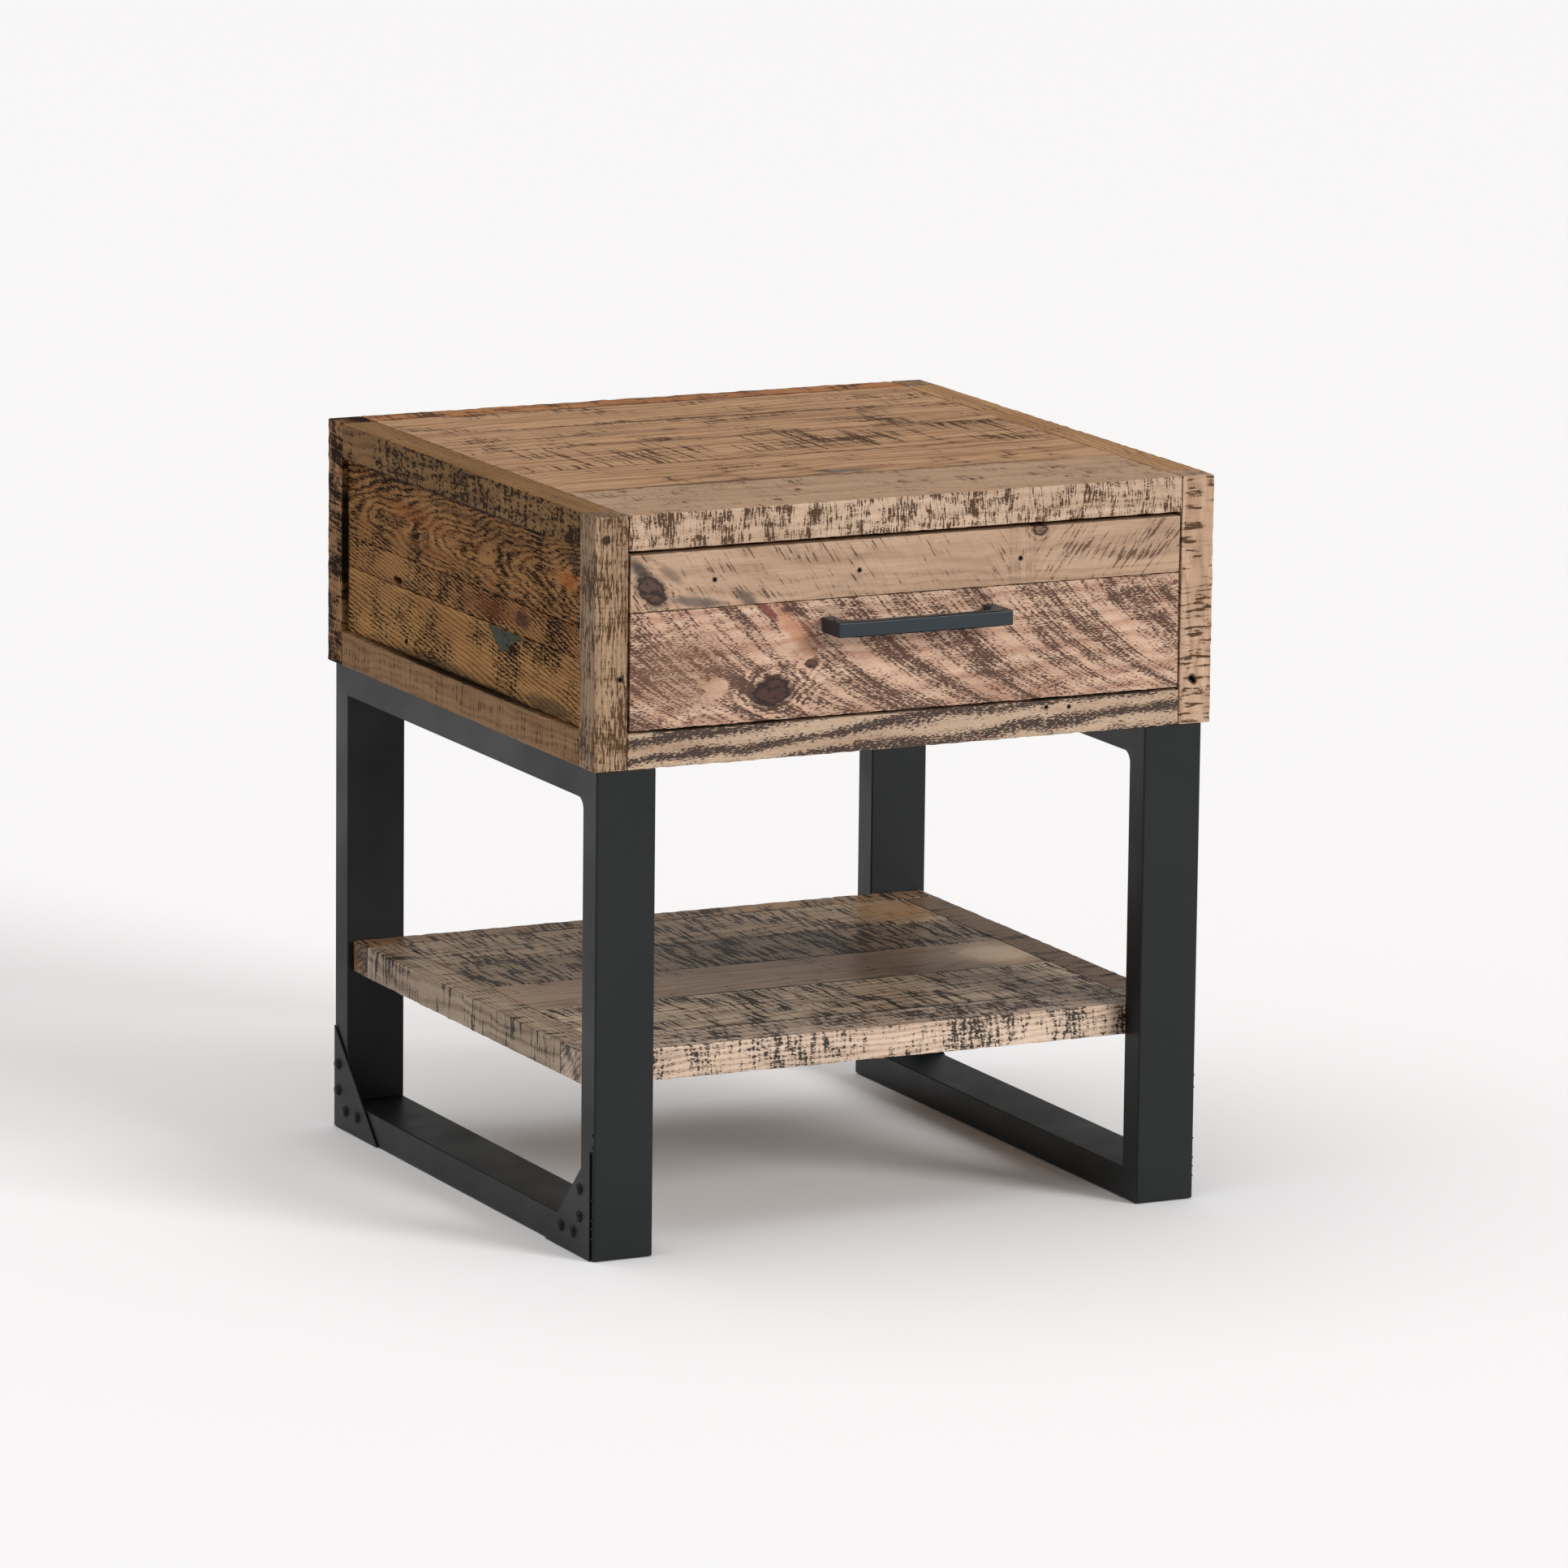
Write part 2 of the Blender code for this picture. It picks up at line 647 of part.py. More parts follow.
pine_top = new_material("pine top", (0.33, 0.21, 0.13), 0.50)
pine_rail = new_material("pine rail", (0.30, 0.20, 0.12), 0.55)
pine_post = new_material("pine post", (0.35, 0.24, 0.15), 0.55)
pine_front = new_material("pine front", (0.45, 0.28, 0.18), 0.50)
pine_panel = new_material("pine panel", (0.20, 0.12, 0.07), 0.55)
pine_dark = new_material("pine dark edge", (0.17, 0.10, 0.07), 0.50)
pine_shelf = new_material("pine shelf", (0.28, 0.20, 0.15), 0.40)
box_wood = new_material("drawer box wood", (0.50, 0.38, 0.24), 0.60)
plywood = new_material("plywood", (0.48, 0.36, 0.23), 0.65)
powder_coat = new_material("black powder coat", (0.028, 0.029, 0.030), 0.45)
handle_paint = new_material("handle paint", (0.045, 0.055, 0.066), 0.40)
zinc_steel = new_material("zinc plated steel", (0.55, 0.55, 0.56), 0.35, 1.0)

table = new_empty("table", (0, CENTRE_Y, 0))
drawer = new_empty("drawer", (0, CASE_FRONT, SLIDE_Z))
slide_carriage = new_empty("slide_carriage", (0, CASE_FRONT, SLIDE_Z))

add_posts()
add_rails()
add_top()
add_side_panels()
add_back_and_dust_panel()
add_shelf()
add_leg_frames()
add_corner_plates()
front_board = add_drawer_front()
box_front = add_drawer_box()
add_slides()
add_handle()
add_handle_screws(front_board, box_front)
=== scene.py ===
# %% [markdown]
# # A side table with a drawer
#
# The table is a case of reclaimed pine on two welded steel leg frames, with a shelf between
# them. Its timber is old and rough-sawn: the sander only skimmed it, so the stain stays in the
# saw marks. This lesson builds each board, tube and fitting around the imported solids, which
# say where everything is and how it moves.

import math

import bpy
from mathutils import Matrix, Vector


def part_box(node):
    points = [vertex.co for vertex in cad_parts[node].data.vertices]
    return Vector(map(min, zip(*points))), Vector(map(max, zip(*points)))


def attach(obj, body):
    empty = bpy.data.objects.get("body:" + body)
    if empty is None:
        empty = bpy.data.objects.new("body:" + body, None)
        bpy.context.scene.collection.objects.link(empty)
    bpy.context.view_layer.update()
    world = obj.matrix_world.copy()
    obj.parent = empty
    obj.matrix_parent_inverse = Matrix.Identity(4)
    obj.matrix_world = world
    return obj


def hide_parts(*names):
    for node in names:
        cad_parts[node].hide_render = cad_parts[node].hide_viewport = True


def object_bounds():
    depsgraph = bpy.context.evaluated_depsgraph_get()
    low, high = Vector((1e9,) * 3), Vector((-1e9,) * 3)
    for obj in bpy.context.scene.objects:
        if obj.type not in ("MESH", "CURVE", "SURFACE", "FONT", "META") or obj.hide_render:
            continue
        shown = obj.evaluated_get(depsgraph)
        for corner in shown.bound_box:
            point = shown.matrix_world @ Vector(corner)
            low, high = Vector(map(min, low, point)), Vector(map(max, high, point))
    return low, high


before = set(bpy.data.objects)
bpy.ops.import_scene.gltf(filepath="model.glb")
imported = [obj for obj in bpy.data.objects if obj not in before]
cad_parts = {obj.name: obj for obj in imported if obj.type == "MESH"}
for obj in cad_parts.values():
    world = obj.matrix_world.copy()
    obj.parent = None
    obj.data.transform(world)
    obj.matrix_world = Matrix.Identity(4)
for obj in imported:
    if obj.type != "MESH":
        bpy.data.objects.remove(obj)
cad_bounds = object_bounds()
low, high = cad_bounds
print("the table measures", [round(1000 * (b - a)) for a, b in zip(low, high)], "mm")

# %% [markdown]
# ## Two helpers for materials
#
# Colours are easiest to pick as sRGB hex values, but a shader adds up light, so it needs them
# linear. A node is easiest to read as one call that names its kind, its inputs and its
# settings. An input may be a number, a colour, or the node that feeds it.

# %% Colours and nodes
def linear(hex_colour):
    """A colour written #rrggbb, as linear red, green, blue and alpha."""
    channels = []
    for start in (1, 3, 5):
        value = int(hex_colour[start:start + 2], 16) / 255
        channels.append(value / 12.92 if value <= 0.04045 else ((value + 0.055) / 1.055) ** 2.4)
    return (*channels, 1.0)


def add_node(tree, kind, inputs=None, **settings):
    """Adds a node. A node given as an input is linked by its first output."""
    made = tree.nodes.new("ShaderNode" + kind)
    for name, value in settings.items():
        setattr(made, name, value)
    for name, value in (inputs or {}).items():
        if isinstance(value, bpy.types.Node):
            value = value.outputs[0]
        if isinstance(value, bpy.types.NodeSocket):
            tree.links.new(value, made.inputs[name])
        else:
            made.inputs[name].default_value = value
    return made


def new_material(name):
    """A material and its node tree, with nothing in it yet."""
    material = bpy.data.materials.new(name)
    material.use_nodes = True
    material.node_tree.nodes.clear()
    return material, material.node_tree


print("the middle grey #808080 is", round(linear("#808080")[0], 3), "linear")

# %% [markdown]
# ## The camera
#
# A long lens from a low three-quarter view keeps the upright edges almost parallel. The camera
# is placed first, because it decides how fine every pattern has to be.

# %% Camera
CAMERA_PLACE = Vector((-3.3767, -6.9272, 1.8621))
CAMERA_AZIMUTH = 0.455
CAMERA_ELEVATION = 0.198
CAMERA_ROLL = 0.011
LENS = 223.7

level = Vector((math.cos(CAMERA_AZIMUTH), -math.sin(CAMERA_AZIMUTH), 0))
forward = Vector((
    math.sin(CAMERA_AZIMUTH) * math.cos(CAMERA_ELEVATION),
    math.cos(CAMERA_AZIMUTH) * math.cos(CAMERA_ELEVATION),
    -math.sin(CAMERA_ELEVATION),
))
upward = level.cross(forward)
right = math.cos(CAMERA_ROLL) * level + math.sin(CAMERA_ROLL) * upward
up = math.cos(CAMERA_ROLL) * upward - math.sin(CAMERA_ROLL) * level
turn = Matrix((right, up, -forward)).transposed()

camera_data = bpy.data.cameras.new("camera")
camera_data.lens = LENS
camera = bpy.data.objects.new("camera", camera_data)
camera.matrix_world = Matrix.LocRotScale(CAMERA_PLACE, turn, None)
bpy.context.scene.collection.objects.link(camera)
bpy.context.scene.camera = camera
print("the camera stands", round(CAMERA_PLACE.length, 2), "m from the table")

# %% [markdown]
# ## Studio light
#
# A broad key comes from the front right, a very soft one from overhead, and the pale floor
# throws light back up. The key misses the left side, which falls a stop darker than the front.
# The room is what the lacquer reflects at a low angle, so it stays fairly dark. Suns give the
# same light everywhere, so the floor is even up to the edge of the picture.

# %% Lights and floor
def add_light(name, direction, spread, strength, colour):
    """A sun that shines from direction. spread is the size of its disc in degrees."""
    light = bpy.data.lights.new(name, "SUN")
    light.angle = math.radians(spread)
    light.energy = strength
    light.color = linear(colour)[:3]
    sun = bpy.data.objects.new(name, light)
    turned = Vector(direction).to_track_quat("Z", "Y")
    sun.matrix_world = Matrix.LocRotScale(2 * Vector(direction), turned, None)
    bpy.context.scene.collection.objects.link(sun)


add_light("key", (0.49, -0.79, 0.37), 22, 2.2, "#fffdfb")
add_light("overhead", (-0.15, 0.1, 1.0), 70, 1.5, "#fffcf8")

world = bpy.data.worlds.new("room")
world.use_nodes = True
room = world.node_tree.nodes["Background"]
room.inputs["Color"].default_value = linear("#fefcf9")
room.inputs["Strength"].default_value = 0.3
bpy.context.scene.world = world
bpy.context.scene.view_settings.view_transform = "Standard"

bpy.ops.mesh.primitive_plane_add(size=60, location=(0, 0, -0.0005))
floor = bpy.context.object
floor.name = "floor"
floor_paint, tree = new_material("pale floor")
paint = add_node(tree, "BsdfPrincipled", {"Base Color": linear("#f8f9fc"), "Roughness": 0.9})
add_node(tree, "OutputMaterial", {"Surface": paint})
floor.data.materials.append(floor_paint)

# %% [markdown]
# ## What old sawn pine looks like
#
# Four things make the pattern. Growth rings show as long arches where the saw cut near the
# heart. Fine fibres run along the board. The saw left rows of scratches across the fibres, in
# straight rows from a frame saw and in wide arcs from a round one. And the dark stain stayed
# in those scratches only where the sander missed them, broken into short flecks by the fibres.
#
# All of it is worked out in millimetres from the place on the board, given as the distance
# along it, across it and into it, so that it runs through every face as it does in real wood.
# It is one node group, because each board needs the same steps with other numbers.

# %% What a board can be told
PINE_INPUTS = (
    ("Place", "Vector", (0, 0, 0)),
    ("Seed", "Float", 0.0),
    ("Pith", "Vector", (0.0, 0.0, 40.0)),
    ("Push", "Float", 0.0),
    ("Bend", "Float", 16.0),
    ("Ring width", "Float", 5.0),
    ("Ring contrast", "Float", 0.5),
    ("Pale", "Color", linear("#c9ab8c")),
    ("Ruddy", "Color", linear("#a87f5c")),
    ("Stain", "Color", linear("#4a3a33")),
    ("Saw centre", "Float", 0.0),
    ("Saw reach", "Float", 600.0),
    ("Stroke gap", "Float", 2.2),
    ("Stroke length", "Float", 30.0),
    ("Fleck", "Vector", (2.6, 0.9, 0.9)),
    ("Patch", "Float", 30.0),
    ("Patch length", "Float", 45.0),
    ("Row weight", "Float", 0.5),
    ("Fleck weight", "Float", 0.9),
    ("Patchiness", "Float", 1.0),
    ("Ring stain", "Float", 0.1),
    ("Amount", "Float", 0.4),
    ("Haze", "Float", 0.25),
)
print("a board can be told", len(PINE_INPUTS), "things")

# %% The group's inputs and outputs
SEED_STEP = (131.7, 57.3, 211.9)

tree = bpy.data.node_groups.new("sawn pine", "ShaderNodeTree")
for name, kind, value in PINE_INPUTS:
    socket = tree.interface.new_socket(name, in_out="INPUT", socket_type="NodeSocket" + kind)
    socket.default_value = value
tree.interface.new_socket("Colour", in_out="OUTPUT", socket_type="NodeSocketColor")
tree.interface.new_socket("Stained", in_out="OUTPUT", socket_type="NodeSocketFloat")
tree.interface.new_socket("Height", in_out="OUTPUT", socket_type="NodeSocketFloat")
given = tree.nodes.new("NodeGroupInput").outputs
result = tree.nodes.new("NodeGroupOutput").inputs

# Every board has its own stretch of noise, so each seed moves it well away
moved = add_node(tree, "VectorMath", {0: given["Seed"], 1: SEED_STEP,
                                      2: given["Place"]}, operation="MULTIPLY_ADD")
place = add_node(tree, "SeparateXYZ", {0: given["Place"]}).outputs
pith = add_node(tree, "SeparateXYZ", {0: given["Pith"]}).outputs
print("a seed moves a board's noise by", SEED_STEP, "mm")

# %% [markdown]
# ### Rings
#
# A ring is a line of equal distance from the pith, less the taper of the trunk. The rings are
# bent a little, and pushed outwards round knots. The dark late wood is a narrow part of each.

# %% Rings
RING_WAVES = (1 / 90, 1 / 28, 1 / 28)
LATE_WOOD_SHARPNESS = 2.2

from_pith = add_node(tree, "VectorMath", {0: given["Place"], 1: given["Pith"]},
                     operation="SUBTRACT")
across_pith = add_node(tree, "VectorMath", {0: from_pith, 1: (0, 1, 1)}, operation="MULTIPLY")
radius = add_node(tree, "VectorMath", {0: across_pith}, operation="LENGTH")
taper = add_node(tree, "Math", {0: pith["X"], 1: place["X"]}, operation="MULTIPLY")
tapered = add_node(tree, "Math", {0: radius.outputs["Value"], 1: taper},
                   operation="SUBTRACT")
pushed = add_node(tree, "Math", {0: tapered, 1: given["Push"]}, operation="ADD")
bend_place = add_node(tree, "VectorMath", {0: moved, 1: RING_WAVES}, operation="MULTIPLY")
bend = add_node(tree, "TexNoise", {"Vector": bend_place, "Scale": 1, "Detail": 2})
bent = add_node(tree, "Math", {0: bend, 1: given["Bend"], 2: pushed},
                operation="MULTIPLY_ADD")
counted = add_node(tree, "Math", {0: bent, 1: given["Ring width"]}, operation="DIVIDE")
swing = add_node(tree, "Math", {0: counted, 1: math.tau}, operation="MULTIPLY")
wave = add_node(tree, "Math", {0: swing}, operation="SINE")
half_wave = add_node(tree, "Math", {0: wave, 1: 0.5, 2: 0.5}, operation="MULTIPLY_ADD")
late_wood = add_node(tree, "Math", {0: half_wave, 1: LATE_WOOD_SHARPNESS},
                     operation="POWER")
print("the rings wander over", round(1 / RING_WAVES[0]), "mm along the board")

# %% [markdown]
# ### Bare wood
#
# Fine fibres run along the board, and its tone changes slowly between pale and ruddy.

# %% Bare wood
FIBRES = (1 / 24, 1 / 0.6, 1 / 0.6)
SLOW_TONES = (1 / 150, 1 / 14, 1 / 14)

fibre_place = add_node(tree, "VectorMath", {0: moved, 1: FIBRES}, operation="MULTIPLY")
fibres = add_node(tree, "TexNoise", {"Vector": fibre_place, "Scale": 1, "Detail": 2})
slow_place = add_node(tree, "VectorMath", {0: moved, 1: SLOW_TONES}, operation="MULTIPLY")
slow = add_node(tree, "TexNoise", {"Vector": slow_place, "Scale": 1, "Detail": 2})
slow_tone = add_node(tree, "Math", {0: slow, 1: 1.5, 2: -0.6}, operation="MULTIPLY_ADD")
ruddiness = add_node(tree, "Math", {0: late_wood, 1: given["Ring contrast"], 2: slow_tone},
                     operation="MULTIPLY_ADD", use_clamp=True)
wood = add_node(tree, "Mix", {"Factor": ruddiness, "A": given["Pale"],
                              "B": given["Ruddy"]}, data_type="RGBA")
wood_colour = wood.outputs["Result"]
fibre_tone = add_node(tree, "MapRange", {"Value": fibres, "From Min": 0.3, "From Max": 0.7,
                                         "To Min": 0.84, "To Max": 1.1})
fibrous = add_node(tree, "VectorMath", {0: wood_colour, "Scale": fibre_tone},
                   operation="SCALE")
print("a fibre is", round(1 / FIBRES[1], 1), "mm wide")

# %% [markdown]
# ### The saw's arc
#
# A round saw leaves arcs: lines of equal distance from its own middle. How far a place is along
# the feed of the saw is counted from those arcs, and it wanders a little.

# %% The saw's arc
ROW_WANDER = 5

off_centre = add_node(tree, "Math", {0: place["Y"], 1: given["Saw centre"]},
                      operation="SUBTRACT")
off_squared = add_node(tree, "Math", {0: off_centre, 1: off_centre}, operation="MULTIPLY")
reach_squared = add_node(tree, "Math", {0: given["Saw reach"], 1: given["Saw reach"]},
                         operation="MULTIPLY")
rest = add_node(tree, "Math", {0: reach_squared, 1: off_squared}, operation="SUBTRACT")
arc = add_node(tree, "Math", {0: rest}, operation="SQRT")
feed = add_node(tree, "Math", {0: place["X"], 1: arc}, operation="ADD")
feed = add_node(tree, "Math", {0: bend, 1: ROW_WANDER, 2: feed}, operation="MULTIPLY_ADD")
print("a row of saw marks wanders by up to", ROW_WANDER, "mm")

# %% [markdown]
# ### Strokes, flecks and patches
#
# Each row gets its own noise along it, which makes the strokes. Flecks are short pores that the
# sander left full of stain. Patches are wider places that it hardly touched.

# %% Strokes, flecks and patches
ROW_SHIFT, PATCH_SHIFT = 17.3, 31.7

row_number = add_node(tree, "Math", {0: feed, 1: given["Stroke gap"]}, operation="DIVIDE")
row_start = add_node(tree, "Math", {0: given["Seed"], 1: ROW_SHIFT, 2: row_number},
                     operation="MULTIPLY_ADD")
row_across = add_node(tree, "Math", {0: place["Y"], 1: given["Stroke length"]},
                      operation="DIVIDE")
row_depth = add_node(tree, "Math", {0: place["Z"], 1: given["Stroke length"]},
                     operation="DIVIDE")
row_place = add_node(tree, "CombineXYZ", {"X": row_start, "Y": row_across, "Z": row_depth})
rows = add_node(tree, "TexNoise", {"Vector": row_place, "Scale": 1, "Detail": 1})

fleck_place = add_node(tree, "VectorMath", {0: moved, 1: given["Fleck"]},
                       operation="DIVIDE")
flecks = add_node(tree, "TexNoise", {"Vector": fleck_place, "Scale": 1, "Detail": 1})

patch_number = add_node(tree, "Math", {0: feed, 1: given["Patch"]}, operation="DIVIDE")
patch_start = add_node(tree, "Math", {0: given["Seed"], 1: PATCH_SHIFT, 2: patch_number},
                       operation="MULTIPLY_ADD")
patch_across = add_node(tree, "Math", {0: place["Y"], 1: given["Patch length"]},
                        operation="DIVIDE")
patch_depth = add_node(tree, "Math", {0: place["Z"], 1: given["Patch length"]},
                       operation="DIVIDE")
patch_place = add_node(tree, "CombineXYZ", {"X": patch_start, "Y": patch_across,
                                            "Z": patch_depth})
patches = add_node(tree, "TexNoise", {"Vector": patch_place, "Scale": 1, "Detail": 1})
print("three kinds of mark are ready")

# %% [markdown]
# ### Stain and depth
#
# Stain stays where strokes, flecks, patches and rings add up to enough, with a thin haze of it
# round about. Where it stays the wood is lowest, because the sander never reached down there.

# %% Stain and depth
STAIN_COVER = 0.68

total = add_node(tree, "Math", {0: given["Amount"], 1: 0.5}, operation="SUBTRACT")
for part, weight in ((rows, "Row weight"), (flecks, "Fleck weight"),
                     (patches, "Patchiness"), (half_wave, "Ring stain")):
    centred = add_node(tree, "Math", {0: part, 1: 0.5}, operation="SUBTRACT")
    total = add_node(tree, "Math", {0: centred, 1: given[weight], 2: total},
                     operation="MULTIPLY_ADD")
stained = add_node(tree, "MapRange", {"Value": total, "From Min": -0.02, "From Max": 0.07},
                   interpolation_type="SMOOTHSTEP")
haze = add_node(tree, "MapRange", {"Value": total, "From Min": -0.22, "From Max": 0.12,
                                   "To Max": given["Haze"]})
cover = add_node(tree, "Math", {0: stained, 1: STAIN_COVER, 2: haze},
                 operation="MULTIPLY_ADD", use_clamp=True)
colour = add_node(tree, "Mix", {"Factor": cover, "A": fibrous, "B": given["Stain"]},
                  data_type="RGBA")
tree.links.new(colour.outputs["Result"], result["Colour"])
tree.links.new(stained.outputs[0], result["Stained"])

ridge = add_node(tree, "Math", {0: fibres, 1: 0.35, 2: rows}, operation="MULTIPLY_ADD")
height = add_node(tree, "Math", {0: ridge, 1: stained}, operation="SUBTRACT")
tree.links.new(height.outputs[0], result["Height"])
SAWN_PINE = tree
print("the sawn pine group has", len(SAWN_PINE.nodes), "nodes")

# %% [markdown]
# ## Spots on a board
#
# A spot is an ellipse on the board's face with a ragged rim. Spots make the knots, the nail
# stains, and the places where the sander left more or less of the stain; some also paint shade in
# the side recesses and light on the shelf's right ends. A spot is written as its place along and
# across the board, its two half-lengths in mm and its tilt in degrees.

# %% Spots
RAGGED = 0.7


def spot_distance(tree, place, spot, rough):
    """Distance from a spot's middle, counted in the spot's own radii."""
    along, across, half_length, half_width, tilt = spot
    laid = add_node(tree, "Mapping", {
        "Vector": place, "Location": (along, across, 0),
        "Rotation": (0, 0, math.radians(tilt)), "Scale": (half_length, half_width, 1e6),
    }, vector_type="TEXTURE")
    distance = add_node(tree, "VectorMath", {0: laid}, operation="LENGTH")
    return add_node(tree, "Math", {0: rough, 1: RAGGED, 2: distance.outputs["Value"]},
                    operation="MULTIPLY_ADD")


def spot_mask(tree, distance, inner, outer, strength=1.0):
    """strength inside the inner radius, fading to nothing at the outer one."""
    return add_node(tree, "MapRange", {
        "Value": distance, "From Min": inner + RAGGED / 2, "From Max": outer + RAGGED / 2,
        "To Min": strength, "To Max": 0.0,
    }, interpolation_type="SMOOTHSTEP")


def tint(tree, mask, colour, paint):
    """The colour, painted over where the mask is."""
    paint = linear(paint) if isinstance(paint, str) else paint
    mixed = add_node(tree, "Mix", {"Factor": mask, "A": colour, "B": paint}, data_type="RGBA")
    return mixed.outputs["Result"]


print("a rim wanders by up to", RAGGED, "of a spot's radius")

# %% [markdown]
# ## Knots
#
# A knot is where a branch ran out through the face. The trunk's rings flow round it and hold
# more stain there. The knot itself is a dark heart inside a black rim of bark, with a brown
# halo round it and cracks across it.

# %% Knots
SWIRL_STAIN = 0.3
KNOT_HALO, KNOT_RIM, KNOT_CRACK = "#3a2a22", "#2b1c18", "#1a100d"


def push_rings(tree, distance, half_width):
    """How far a knot of this half-width pushes the rings outwards, in mm."""
    return add_node(tree, "MapRange", {
        "Value": distance, "From Min": 0.4, "From Max": 3.2,
        "To Min": 2.0 * half_width, "To Max": 0.0}, interpolation_type="SMOOTHSTEP")


def stain_rings(tree, distance):
    """How much more stain the rings hold round a knot."""
    return add_node(tree, "MapRange", {
        "Value": distance, "From Min": 0.8, "From Max": 3.4, "To Min": SWIRL_STAIN,
        "To Max": 0.0}, interpolation_type="SMOOTHSTEP")


def paint_knot(tree, distance, rough, heart, colour):
    cracks = add_node(tree, "MapRange", {"Value": rough, "From Min": 0.5, "From Max": 0.6,
                                         "To Max": 0.8})
    inside = spot_mask(tree, distance, 0.7, 0.9)
    crack = add_node(tree, "Math", {0: cracks, 1: inside}, operation="MULTIPLY")
    colour = tint(tree, spot_mask(tree, distance, 1.0, 1.3, 0.55), colour, KNOT_HALO)
    colour = tint(tree, spot_mask(tree, distance, 0.85, 1.0), colour, KNOT_RIM)
    colour = tint(tree, spot_mask(tree, distance, 0.55, 0.85), colour, heart)
    return tint(tree, crack, colour, KNOT_CRACK)


print("a knot is painted with", len((KNOT_HALO, KNOT_RIM, KNOT_CRACK)), "browns and its heart")

# %% [markdown]
# ## Handling
#
# Sawn ends drink more stain and come out darker. Arrises are rubbed paler by hands and cloths,
# in patches. Both are told by the way the surface looks: along the board at its ends, and
# slantwise, along none of the three axes, on a rounded arris.

# %% End grain and worn arrises
END_TONE = (0.62, 0.56, 0.5)
END_STRENGTH = 0.55
WORN = 0.6


def wear(tree, colour, facing, along, rough, pale):
    """The colour with darker ends and paler arrises."""
    end = add_node(tree, "MapRange", {"Value": facing[along], "From Min": 0.75,
                                      "From Max": 0.95, "To Max": END_STRENGTH})
    darker = add_node(tree, "VectorMath", {0: colour, 1: END_TONE}, operation="MULTIPLY")
    colour = tint(tree, end, colour, darker)
    larger = add_node(tree, "Math", {0: facing["X"], 1: facing["Y"]}, operation="MAXIMUM")
    largest = add_node(tree, "Math", {0: larger, 1: facing["Z"]}, operation="MAXIMUM")
    arris = add_node(tree, "MapRange", {"Value": largest, "From Min": 0.98, "From Max": 0.8,
                                        "To Max": WORN})
    rubbed = add_node(tree, "Math", {0: rough, 1: arris}, operation="MULTIPLY")
    return tint(tree, rubbed, colour, tint(tree, 0.5, colour, pale))


print("ends are darkened by", END_STRENGTH, "and arrises paled by up to", WORN)

# %% [markdown]
# ## One board's material
#
# Each board gets its own material, because no two boards have the same rings, knots and
# stains. The lacquer is a thin satin coat: worn and nearly matt on the sides, fresher on the
# drawer front, and glossiest on the shelf. Stained wood is rougher than bare wood.

# %% One board's material
PLANING = -0.22
HOLE_DIRT = "#241b16"
RIM_NOISE = (1 / 7, 1 / 3.5, 1 / 3.5)
STAIN_ROUGHNESS = 0.16
SCRATCH_DEPTH = 0.00022


